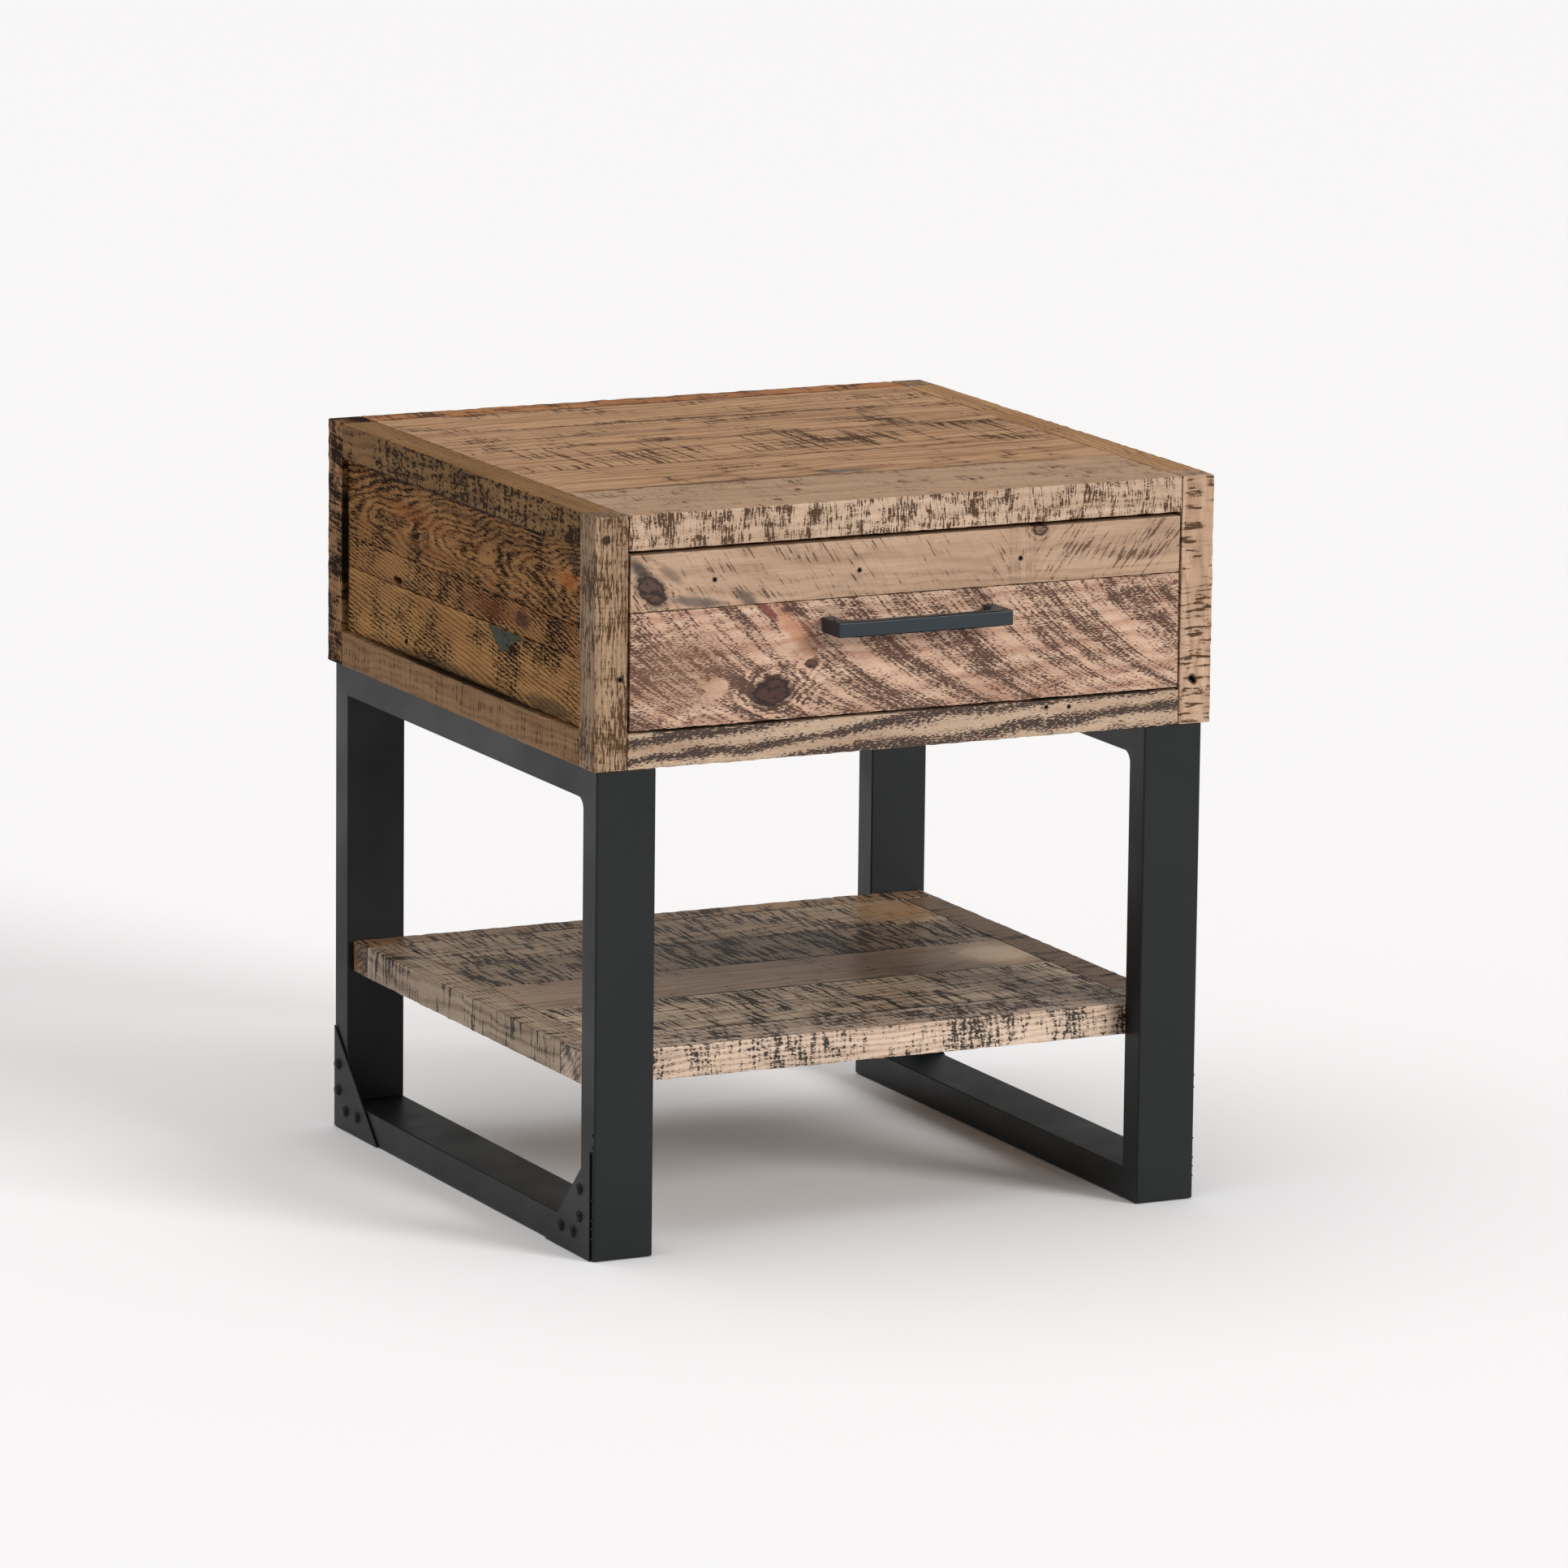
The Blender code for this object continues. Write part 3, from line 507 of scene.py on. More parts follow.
def pine(name, axes, look, knots=(), blots=(), zones=(), holes=(), planed=None,
         roughness=0.45, lacquer=0.25):
    """axes names the board's directions along, across and into it. knots are spots with the
    colour of the heart, blots are spots with a colour and strength, zones are spots that
    change how much stain is left, and holes are along, across and radius. planed is the axis
    that the planed faces look along, and a tone: they keep less stain and show older wood."""
    material, tree = new_material(name)
    coordinates = add_node(tree, "TexCoord").outputs
    in_mm = add_node(tree, "VectorMath", {0: coordinates["Object"], "Scale": 1000},
                     operation="SCALE")
    world = add_node(tree, "SeparateXYZ", {0: in_mm}).outputs
    place = add_node(tree, "CombineXYZ", {to: world[axis] for to, axis in zip("XYZ", axes)})
    normal = add_node(tree, "VectorMath", {0: coordinates["Normal"]}, operation="ABSOLUTE")
    facing = add_node(tree, "SeparateXYZ", {0: normal}).outputs
    rough_place = add_node(tree, "VectorMath", {0: place, 1: RIM_NOISE}, operation="MULTIPLY")
    rough = add_node(tree, "TexNoise", {"Vector": rough_place, "Scale": 1, "Detail": 3})

    # How much stain is left, and where the rings run
    look = dict(look)
    amount, swirl, push = look.pop("Amount", 0.4), look.pop("Ring stain", 0.1), 0.0
    for *spot, extra in zones:
        mask = spot_mask(tree, spot_distance(tree, place, spot, rough), 0.6, 1.1, extra)
        amount = add_node(tree, "Math", {0: mask, 1: amount}, operation="ADD")
    if planed:
        flat = add_node(tree, "MapRange", {"Value": facing[planed[0]], "From Min": 0.7,
                                           "From Max": 0.9})
        amount = add_node(tree, "Math", {0: flat, 1: PLANING, 2: amount},
                          operation="MULTIPLY_ADD")
    knots = [(spot_distance(tree, place, spot, rough), spot[3], heart)
             for *spot, heart in knots]
    for distance, half_width, heart in knots:
        outward = push_rings(tree, distance, half_width)
        push = add_node(tree, "Math", {0: outward, 1: push}, operation="ADD")
        darker_rings = stain_rings(tree, distance)
        swirl = add_node(tree, "Math", {0: darker_rings, 1: swirl}, operation="ADD")
    if "Saw turn" in look:
        start, end, centre = look.pop("Saw turn")
        place_along = add_node(tree, "SeparateXYZ", {0: place})
        look["Saw centre"] = add_node(tree, "MapRange", {
            "Value": place_along, "From Min": start, "From Max": end,
            "To Min": look["Saw centre"], "To Max": centre})

    group = tree.nodes.new("ShaderNodeGroup")
    group.node_tree = SAWN_PINE
    settings = {"Place": place, "Amount": amount, "Push": push, "Ring stain": swirl, **look}
    for key, value in settings.items():
        if isinstance(value, bpy.types.Node):
            tree.links.new(value.outputs[0], group.inputs[key])
        else:
            group.inputs[key].default_value = linear(value) if isinstance(value, str) else value

    # What lies on the wood, from the bottom up
    colour = group.outputs["Colour"]
    if planed:
        toned = add_node(tree, "VectorMath", {0: colour, 1: planed[1]}, operation="MULTIPLY")
        colour = tint(tree, flat, colour, toned)
    for *spot, paint, strength in blots:
        mask = spot_mask(tree, spot_distance(tree, place, spot, rough), 0.35, 1.1, strength)
        colour = tint(tree, mask, colour, paint)
    for distance, half_width, heart in knots:
        colour = paint_knot(tree, distance, rough, heart, colour)
    for along, across, radius in holes:
        distance = spot_distance(tree, place, (along, across, radius, radius, 0), rough)
        colour = tint(tree, spot_mask(tree, distance, 1.1, 2.0, 0.9), colour, HOLE_DIRT)
    colour = wear(tree, colour, facing, axes[0], rough, group.inputs["Pale"].default_value)

    gloss = add_node(tree, "MapRange", {"Value": group.outputs["Stained"], "To Min": roughness,
                                        "To Max": roughness + STAIN_ROUGHNESS})
    bump = add_node(tree, "Bump", {"Height": group.outputs["Height"],
                                   "Distance": SCRATCH_DEPTH, "Strength": 0.7})
    shader = add_node(tree, "BsdfPrincipled", {
        "Base Color": colour, "Roughness": gloss, "Normal": bump,
        "Specular IOR Level": lacquer})
    add_node(tree, "OutputMaterial", {"Surface": shader})
    return material


print("one material per board, each with its own seed")

# %% [markdown]
# ## Sawing a board
#
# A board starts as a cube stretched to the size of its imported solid. Its long edges are cut
# into short lengths so that it can waver, all its arrises are rounded with a bevel, and two
# displacements roughen it: a slow one over the whole board and a quick one that only dents the
# arrises. A weighted normal keeps the wide faces flat in the light. Nail holes are real holes,
# drilled last with a Boolean.

# %% A box, and picking its edges and faces
def start_box(name, low, high):
    """A cube stretched to fill low to high, left in edit mode and selected all over."""
    bpy.ops.object.select_all(action="DESELECT")
    bpy.ops.mesh.primitive_cube_add(size=1, location=(0, 0, 0))
    box = bpy.context.object
    box.name = name
    box.data.name = name
    bpy.ops.object.mode_set(mode="EDIT")
    bpy.ops.transform.resize(value=high - low)
    bpy.ops.transform.translate(value=(low + high) / 2)
    return box


def pick_edges(piece, wanted):
    """In edit mode, selects the edges whose two end points pass the test, and no others."""
    bpy.ops.mesh.select_mode(type="EDGE")
    bpy.ops.mesh.select_all(action="DESELECT")
    bpy.ops.object.mode_set(mode="OBJECT")
    for edge in piece.data.edges:
        first, second = (piece.data.vertices[index].co for index in edge.vertices)
        edge.select = wanted(first, second)
    bpy.ops.object.mode_set(mode="EDIT")


def pick_faces(piece, wanted):
    """In edit mode, selects the faces whose normal and centre pass the test, and no others."""
    bpy.ops.mesh.select_mode(type="FACE")
    bpy.ops.mesh.select_all(action="DESELECT")
    bpy.ops.object.mode_set(mode="OBJECT")
    for face in piece.data.polygons:
        face.select = wanted(face.normal, face.center)
    bpy.ops.object.mode_set(mode="EDIT")


print("edges are picked by their end points, faces by their normal and centre")

# %% Finishing a piece
def apply_modifier(piece, kind, **settings):
    bpy.context.view_layer.objects.active = piece
    modifier = piece.modifiers.new(kind.title(), kind)
    for name, value in settings.items():
        setattr(modifier, name, value)
    bpy.ops.object.modifier_apply(modifier=modifier.name)


def shade(piece, angle=40):
    """Smooth shading that keeps wide faces flat and turns the light only on the arrises."""
    bpy.ops.object.select_all(action="DESELECT")
    piece.select_set(True)
    bpy.context.view_layer.objects.active = piece
    bpy.ops.object.shade_smooth_by_angle(angle=math.radians(angle))
    apply_modifier(piece, "WEIGHTED_NORMAL", keep_sharp=True)


def give(piece, material, body, slot, *nodes):
    """Hands a finished piece its material, the body it rides on and the solids it replaces."""
    piece.data.materials.clear()
    piece.data.materials.append(material)
    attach(piece, body)
    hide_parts(*nodes)


def paint_node(node, material):
    """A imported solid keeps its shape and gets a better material."""
    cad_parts[node].data.materials.clear()
    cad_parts[node].data.materials.append(material)


# %% Sawing and drilling
WAVER = bpy.data.textures.new("slow waver", "CLOUDS")
WAVER.noise_scale = 0.03
WAVER_HEIGHT = 0.0004
DENTS = bpy.data.textures.new("arris dents", "CLOUDS")
DENTS.noise_scale = 0.0045
DENTS.contrast = 2.2
DENT_DEPTH = 0.0006
SLICE = 0.006
HOLE_DEPTH = 0.007


def drill(piece, place, direction, radius):
    """A nail hole into the piece at place, along direction."""
    bpy.ops.object.select_all(action="DESELECT")
    turned = Vector(direction).to_track_quat("Z", "Y").to_euler()
    bpy.ops.mesh.primitive_cylinder_add(vertices=9, radius=radius, depth=2 * HOLE_DEPTH,
                                        location=place, rotation=turned)
    bit = bpy.context.object
    apply_modifier(piece, "BOOLEAN", object=bit, operation="DIFFERENCE")
    bpy.data.objects.remove(bit)


def saw_board(node, along, arris=0.0009, holes=()):
    """A roughened board in the place of a packed one. holes are (place, direction, radius)."""
    low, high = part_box(node)
    axis = "XYZ".index(along)
    board = start_box(node + "_board", low, high)
    pick_edges(board, lambda a, b: abs((a - b)[axis]) > 1e-6)
    cuts = max(1, round((high - low)[axis] / SLICE) - 1)
    bpy.ops.mesh.subdivide(number_cuts=cuts)
    bpy.ops.mesh.select_all(action="DESELECT")
    bpy.ops.mesh.edges_select_sharp(sharpness=math.radians(60))
    bpy.ops.mesh.bevel(offset=arris, segments=2, affect="EDGES")
    bpy.ops.object.vertex_group_assign_new()
    bpy.ops.object.mode_set(mode="OBJECT")
    group = board.vertex_groups[0].name
    apply_modifier(board, "DISPLACE", texture=WAVER, strength=WAVER_HEIGHT,
                   mid_level=0.6)
    apply_modifier(board, "DISPLACE", texture=DENTS, strength=-DENT_DEPTH,
                   mid_level=0.35, vertex_group=group)
    board.vertex_groups.clear()
    for place, direction, radius in holes:
        drill(board, place, direction, radius)
    shade(board)
    return board


print("boards are sliced every", round(1000 * SLICE), "mm")

# %% [markdown]
# ## The drawer front
#
# Two boards with a dark joint between them. The upper one is light and mauve grey, with
# its saw marks falling to the left; the lower one is darker, with wide arcs from a round saw
# and one large black knot with the grain swirling round it.

# %% Upper drawer board
FRONT_PINE = {"Pale": "#c8ac96", "Ruddy": "#a27d66", "Stain": "#3f3029"}
FRONT_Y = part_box("drawer_front_upper")[0].y
UPPER_NAILS = [(-168, 535, 1.4), (-43, 534, 1.4), (98, 534, 1.4)]


def front_holes(nails):
    """Holes straight into the front. A nail is its place across and up and its radius, in mm."""
    return [((across / 1000, FRONT_Y, up / 1000), (0, 1, 0), radius / 1000)
            for across, up, radius in nails]


upper = saw_board("drawer_front_upper", "X", holes=front_holes(UPPER_NAILS))
give(upper, pine(
    "mauve pine, light saw marks", "XZY",
    {**FRONT_PINE, "Seed": 1.0, "Pith": (0.02, 560, -300), "Ring width": 5.5,
     "Ring contrast": 0.3, "Saw centre": 900, "Saw reach": 640, "Saw turn": (88, 112, 150),
     "Stroke gap": 1.9, "Stroke length": 14, "Row weight": 1.2, "Fleck weight": 0.35,
     "Patch": 60, "Patchiness": 0.5, "Amount": 0.27, "Stain": "#5f4635", "Haze": 0.45,
     "Pale": "#b6987f", "Ruddy": "#93735a"},
    knots=[(-222, 530, 15, 10, -42, "#50392f"), (115, 556, 7, 5, 0, "#7a5a48")],
    blots=[(-185, 519, 32, 5, -8, "#4e4743", 0.75), (-232, 547, 14, 7, -42, "#39332c", 0.9),
           (-140, 518, 20, 6, -35, "#3f312b", 0.75), (-205, 541, 14, 5, -35, "#5b4a3e", 0.6)],
    zones=[(190, 538, 66, 14, 0, 0.12), (-60, 536, 150, 10, 0, -0.06)],
    holes=UPPER_NAILS,
), "drawer", "pine_front", "drawer_front_upper")
print("the upper drawer board has", len(UPPER_NAILS), "nail holes")

# %% Lower drawer board
lower = saw_board("drawer_front_lower", "X")
give(lower, pine(
    "brown pine, round-saw arcs", "XZY",
    {**FRONT_PINE, "Seed": 2.0, "Pith": (0.03, 380, -60), "Ring width": 5.5,
     "Ring contrast": 0.5, "Saw centre": 722, "Saw reach": 330, "Stroke gap": 2.4,
     "Stroke length": 22, "Row weight": 0.75, "Fleck weight": 1.15, "Fleck": (3.4, 0.8, 0.8),
     "Pale": "#cbaa92", "Ruddy": "#a67b65", "Stain": "#52392e",
     "Patch": 16, "Patch length": 90, "Patchiness": 1.1, "Ring stain": 0.06,
     "Amount": 0.44, "Haze": 0.5},
    knots=[(-118, 443, 17, 12, 15, "#452c26"), (-84, 463, 5, 4, 0, "#5d3a30")],
    blots=[(-195, 462, 58, 36, 0, "#7a5641", 0.4), (-98, 490, 38, 8, -52, "#b07a5c", 0.75),
           (-122, 508, 16, 4, -45, "#7b3f35", 0.85),
           (-104, 507, 10, 4, 0, "#4a2a2a", 0.85), (-84, 486, 22, 3, -52, "#7d4a34", 0.7)],
    zones=[(-118, 445, 40, 28, 0, 0.08), (-200, 470, 50, 36, 0, 0.05),
           (-88, 505, 22, 7, -20, 0.2), (-150, 506, 20, 6, -30, 0.18),
           (-165, 450, 12, 9, 30, -0.4), (-98, 484, 30, 7, -52, -0.35),
           (200, 497, 45, 8, 0, 0.1)],
), "drawer", "pine_front", "drawer_front_lower")
print("the drawer front is two boards")

# %% [markdown]
# ## Posts and rails
#
# The posts are the same pine stood on end. The left front post was sanded least and keeps rows
# of short dark dashes; the right one shows the saw's cross strokes like the rungs of a ladder.

# %% How the posts look
GREY_PINE = {"Pale": "#ad8d72", "Ruddy": "#8a684b", "Stain": "#33271f"}
BROWN_PINE = {"Pale": "#a5805c", "Ruddy": "#7a5636", "Stain": "#261a10"}
POST_LOOKS = {
    "post_front_left": {"Pale": "#a58a70", "Ruddy": "#7d6148", "Amount": 0.44,
                        "Row weight": 0.3, "Fleck weight": 1.1, "Fleck": (7.0, 1.1, 1.1),
                        "Patch": 30, "Patchiness": 0.7, "Stain": "#503b27", "Haze": 0.5},
    "post_front_right": {"Pale": "#c2a38a", "Ruddy": "#937258", "Amount": 0.31,
                         "Saw centre": 256, "Stroke gap": 2.4, "Stroke length": 18,
                         "Row weight": 1.6, "Fleck weight": 0.4, "Patchiness": 0.3,
                         "Haze": 0.4, "Stain": "#4f3926"},
    "post_rear_left": {"Pale": "#a07752", "Ruddy": "#5c3d24", "Amount": 0.52,
                       "Row weight": 0.9, "Stroke gap": 3.0, "Patch": 20,
                       "Patchiness": 0.9, "Stain": "#23160c", "Haze": 0.5},
    "post_rear_right": {},
}
# painted shade: near-black painted into the corners and ledges of the side recesses
PAINTED_RECESS_SHADE = "#120c08"
POST_NAILS = {"post_front_left": [(-248, 462, 1.3)],
              "post_front_right": [(252.5, 427, 2.0), (254.5, 424.5, 1.8)]}
NAIL_STAINS = {"post_front_left": [(462, -248, 1.5), (572, -261, 2.5)],
               "post_front_right": [(427, 252.5, 2.4), (424.5, 254.5, 2)]}
print("looks for", len(POST_LOOKS), "posts")

# %% Posts
FRAME_ARRIS = 0.0012

for number, (node, look) in enumerate(POST_LOOKS.items()):
    board = saw_board(node, "Z", arris=FRAME_ARRIS, holes=front_holes(POST_NAILS.get(node, ())))
    rear = "rear" in node
    # On the rear posts, the face inside the side recess is painted dark as painted shade.
    give(board, pine(
        f"{node.replace('_', ' ')} pine", "ZYX" if rear else "ZXY",
        {**GREY_PINE, "Seed": 10.0 + number, "Pith": (0.01, 330, 180),
         "Ring width": 3.5, "Ring contrast": 0.4, "Saw reach": 3000, **look},
        blots=[(490, 246.5, 76, 1.3, 0, PAINTED_RECESS_SHADE, 0.97)] if rear else (),
        holes=NAIL_STAINS.get(node, ()), lacquer=0.03 if rear else 0.08,
    ), "table", "pine_post", node)
print("the posts stand at the case's four corners")

# %% Rails across the front and back
RAIL_NAILS = [(123, 413, 1.3), (143, 412, 1.3)]

board = saw_board("front_bottom_rail", "X", arris=FRAME_ARRIS, holes=front_holes(RAIL_NAILS))
give(board, pine(
    "rail pine, streaked rings", "XZY",
    {**FRONT_PINE, "Pale": "#b89e87", "Ruddy": "#8c6c52", "Seed": 20.0,
     "Pith": (0.055, 350, -240), "Ring width": 17.0, "Bend": 24, "Ring contrast": 0.3,
     "Amount": 0.46, "Ring stain": 0.42, "Row weight": 0.35, "Stroke gap": 2.0,
     "Stroke length": 5, "Fleck weight": 1.2, "Fleck": (3.4, 1.0, 1.0),
     "Patchiness": 0.3, "Haze": 0.45},
    holes=RAIL_NAILS,
), "table", "pine_front", "front_bottom_rail")

board = saw_board("rear_bottom_rail", "X", arris=FRAME_ARRIS)
give(board, pine("rear rail pine", "XZY", {**GREY_PINE, "Seed": 21.0}),
     "table", "pine_rail", "rear_bottom_rail")
print("a rail under the drawer and one behind it")

# %% Side rails
RAIL_LOOKS = {
    "side_top_rail_left": {"Pale": "#84633f", "Ruddy": "#5c3e22", "Amount": 0.48,
                           "Fleck": (5.0, 2.6, 2.6), "Fleck weight": 1.0, "Patch": 9,
                           "Patchiness": 0.7, "Row weight": 0.3},
    "side_bottom_rail_left": {"Pale": "#957352", "Ruddy": "#6c4d30", "Amount": 0.36,
                              "Ring contrast": 0.2, "Stroke gap": 1.4,
                              "Stroke length": 30, "Row weight": 0.9,
                              "Fleck weight": 0.5, "Patchiness": 0.2, "Haze": 0.3},
    "side_top_rail_right": {},
    "side_bottom_rail_right": {},
}
for number, (node, look) in enumerate(RAIL_LOOKS.items()):
    board = saw_board(node, "Y", arris=FRAME_ARRIS)
    top = "top" in node
    # Each rail's ledge at the side recess is painted dark as painted shade.
    give(board, pine(
        f"{node.replace('_', ' ')} pine", "YZX",
        {**BROWN_PINE, "Seed": 30.0 + number, "Pith": (0.02, 700, 150), "Ring width": 4.0,
         "Saw centre": 500, "Saw reach": 2000, **look},
        blots=[(16, 561.5 if top else 418.5, 230, 1.6, 0, PAINTED_RECESS_SHADE, 0.9)],
        zones=[(215, 577, 45, 20, 0, -0.2)] if top else (),
        planed=("Z", (1.12, 1.12, 1.12)) if top else None, lacquer=0.03,
    ), "table", "pine_rail", node)
print("two rails on each side")

# %% [markdown]
# ## Side panels
#
# The panel boards lie 5 mm deeper than the frame round them, where no sander reached, so they are
# darker and browner. The upper board was cut near the heart and shows nested arches of late wood.
# Shade is painted dark along the edges of the recess.

# %% How the panels look
PANEL_PINE = {"Pale": "#a07548", "Ruddy": "#6b4122", "Stain": "#24160b",
              "Saw centre": 500, "Saw reach": 2000, "Haze": 0.45, "Bend": 11}
PITH_DEPTH = 243
PANEL_LOOKS = {
    "upper": {"Pith": (-0.1, 526, PITH_DEPTH), "Ring width": 3.3, "Ring contrast": 0.55,
              "Ring stain": 0.16, "Row weight": 0.15, "Fleck weight": 1.1, "Bend": 17,
              "Patchiness": 0.6, "Amount": 0.43, "Fleck": (7.0, 0.8, 0.8)},
    "middle": {"Pith": (0.2, 445, PITH_DEPTH), "Ring width": 3.2, "Ring contrast": 0.7,
               "Ring stain": 0.2, "Amount": 0.42, "Row weight": 0.2, "Patch": 50,
               "Fleck weight": 1.1, "Fleck": (6.0, 0.8, 0.8)},
    "lower": {"Pale": "#ad8250", "Ruddy": "#78502b", "Pith": (0.15, 395, PITH_DEPTH),
              "Ring width": 3.6, "Ring contrast": 0.7, "Ring stain": 0.15, "Amount": 0.36,
              "Row weight": 0.3, "Patch": 50, "Fleck weight": 1.1,
              "Fleck": (6.0, 0.8, 0.8)},
}
# The first blot of the upper and of the lower board is painted shade along the recess edge, under
# the top rail and above the bottom rail.
PANEL_BLOTS = {
    "upper": [(16, 562, 240, 5, 0, PAINTED_RECESS_SHADE, 0.9), (110, 535, 95, 9, 2, "#8a4f2c", 0.4),
              (-182, 531, 24, 9, 0, "#a9622c", 0.6), (-20, 549, 150, 5, 2, "#3a2616", 0.5),
              (40, 512, 170, 5, 0, "#86592f", 0.4), (-196, 545, 30, 7, 20, "#3b322b", 0.6)],
    "middle": [(-42, 485, 80, 11, 0, "#6b3d24", 0.65), (-98, 486, 18, 10, 0, "#3a231a", 0.8),
               (144, 477, 12, 4, 0, "#14110f", 0.9)],
    "lower": [(16, 418, 240, 5, 0, PAINTED_RECESS_SHADE, 0.9), (127, 430, 4, 2.5, 0, "#14110f", 1.0),
              (-150, 426, 60, 9, 0, "#2e2a1f", 0.7), (60, 423, 90, 6, 0, "#2c2519", 0.6)],
}
print("looks for the", ", ".join(PANEL_LOOKS), "boards")

# %% Panel boards
LEFT_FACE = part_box("side_board_middle_left")[0].x
PANEL_HOLES = {
    "side_board_middle_left": [
        ((LEFT_FACE, y, z), (1, 0, 0), 0.0030)
        for y, z in ((0.1397, 0.4774), (0.1440, 0.4769), (0.1483, 0.4778))],
    "side_board_lower_left": [((LEFT_FACE, 0.127, 0.430), (1, 0, 0), 0.0022)],
}

for number, side in enumerate(("left", "right")):
    for part, look in PANEL_LOOKS.items():
        node = f"side_board_{part}_{side}"
        board = saw_board(node, "Y", arris=0.0006, holes=PANEL_HOLES.get(node, ()))
        taper, height, depth = look["Pith"]
        depth *= -1 if side == "left" else 1
        # The blot at the rear edge is painted shade beside the rear post.
        give(board, pine(
            f"stained panel pine ({part} {side})", "YZX",
            {**PANEL_PINE, "Seed": 40.0 + number + 2 * len(part), **look,
             "Pith": (taper, height, depth)},
            blots=[*PANEL_BLOTS[part], (246, 490, 5, 90, 0, PAINTED_RECESS_SHADE, 0.9)], lacquer=0.02,
        ), "table", "pine_panel", node)
print(len(PANEL_LOOKS), "boards on each side")

# %% [markdown]
# ## An old repair
#
# A piece had broken out of the left side where two boards meet, and it was filled with a
# triangle of grey filler. It is a thin block with both lower corners cut off by slanting planes,
# and it stands 0.4 mm proud of the boards.

# %% Grey filler
FILLER_PROUD, FILLER_DEPTH = 0.0004, 0.002
FILLER_BACK, FILLER_FRONT, FILLER_TOE = 0.033, 0.097, 0.058
FILLER_TOP, FILLER_BOTTOM = 0.4715, 0.4525

filler = start_box("grey_filler",
                   Vector((LEFT_FACE - FILLER_PROUD, -FILLER_FRONT, FILLER_BOTTOM)),
                   Vector((LEFT_FACE + FILLER_DEPTH, -FILLER_BACK, FILLER_TOP)))
rise = FILLER_TOP - FILLER_BOTTOM
for corner, outward in ((-FILLER_BACK, 1), (-FILLER_FRONT, -1)):
    run = abs(corner + FILLER_TOE)
    bpy.ops.mesh.select_all(action="SELECT")
    bpy.ops.mesh.bisect(plane_co=(0, corner, FILLER_TOP), plane_no=(0, outward * rise, -run),
                        use_fill=True, clear_outer=True)
bpy.ops.object.mode_set(mode="OBJECT")
shade(filler)
give(filler, pine("grey filler", "YZX", {
    "Seed": 48.0, "Pale": "#474a3f", "Ruddy": "#3a3c34", "Stain": "#24241f", "Amount": 0.3,
    "Ring contrast": 0.1}, lacquer=0.02), "table", "pine_panel")
print("the filler is", round(1000 * rise), "mm high")

# %% [markdown]
# ## The back and the dust panel
#
# These two plain sheets close the case behind and below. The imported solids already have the
# right shape, so they only get the brown pine with very little stain.

# %% Back and dust panel
for number, (node, axes) in enumerate((("back_panel", "XZY"), ("dust_panel", "XYZ"))):
    paint_node(node, pine(node.replace("_", " ") + " pine", axes,
                          {**BROWN_PINE, "Seed": 50.0 + number, "Amount": 0.1}))
print("the back and the dust panel are painted")

# %% [markdown]
# ## The top
#
# The top is planed smoother than the rest, so its rings show more and its saw marks less. The
# boards' edges drink more stain, which draws a soft dark line along each joint. The front
# board's front edge is the rail over the drawer, left rough with close upright strokes.

# %% How the top looks
TOP_PINE = {"Pale": "#b8916d", "Ruddy": "#855e40", "Stain": "#4a3220", "Ring width": 6.0,
            "Ring contrast": 0.5, "Saw centre": 0, "Saw reach": 2500, "Row weight": 0.6,
            "Fleck weight": 0.7, "Stroke gap": 2.4, "Stroke length": 30, "Haze": 0.3}
JOINT_STAIN = "#4a3422"
TOP_LOOKS = {
    "top_board_rear": ({"Pale": "#ad7546", "Ruddy": "#84522e", "Amount": 0.42,
                        "Fleck": (14, 2, 2)}, ()),
    "top_board_1": ({"Amount": 0.3, "Patch": 70, "Fleck": (9, 1.4, 1.4)},
                    [(0, 163, 260, 5, 0, JOINT_STAIN, 0.8)]),
    "top_board_2": ({"Amount": 0.34, "Fleck": (9, 1.6, 1.6), "Patch": 60},
                    [(0, 165, 260, 7, 0, JOINT_STAIN, 0.5),
                     (-60, 116, 130, 5, 0, "#6a5a50", 0.5),
                     (120, 118, 60, 6, 0, "#5d4c46", 0.5),
                     (-36, 120, 10, 6, 0, "#4f3526", 0.7)]),
    "top_board_3": ({"Amount": 0.34, "Row weight": 1.4, "Fleck weight": 0.4, "Patch": 90,
                     "Stroke gap": 3.4, "Stroke length": 110}, ()),
    "top_board_4": ({"Amount": 0.26, "Fleck": (10, 1.6, 1.6)},
                    [(-100, -126, 150, 4, 1, "#543c2a", 0.8),
                     (130, -128, 110, 3, 0, "#5a4330", 0.4),
                     (4, -117, 30, 7, 0, "#4a4d55", 0.8), (-138, -93, 5, 4, 0, "#3b2a1f", 0.9),
                     (-100, -98, 20, 5, 8, "#5b4230", 0.7)]),
}
print("looks for", len(TOP_LOOKS), "boards")

# %% Top boards
for number, (node, (look, blots)) in enumerate(TOP_LOOKS.items()):
    board = saw_board(node, "X", arris=0.0008)
    low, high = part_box(node)
    joints = [(0, 1000 * y, 280, 2.6, 0, JOINT_STAIN, 0.8) for y in (low.y, high.y)]
    slot = "pine_dark" if node == "top_board_rear" else "pine_top"
    give(board, pine(
        node.replace("_", " ") + " pine", "XYZ",
        {**TOP_PINE, "Seed": 60.0 + number, "Pith": (0.03, 200 - 90 * number, 430), **look},
        blots=[*joints, *blots], lacquer=0.1,
    ), "table", slot, node)
print("the top's boards are drawn together with a dark line at each joint")

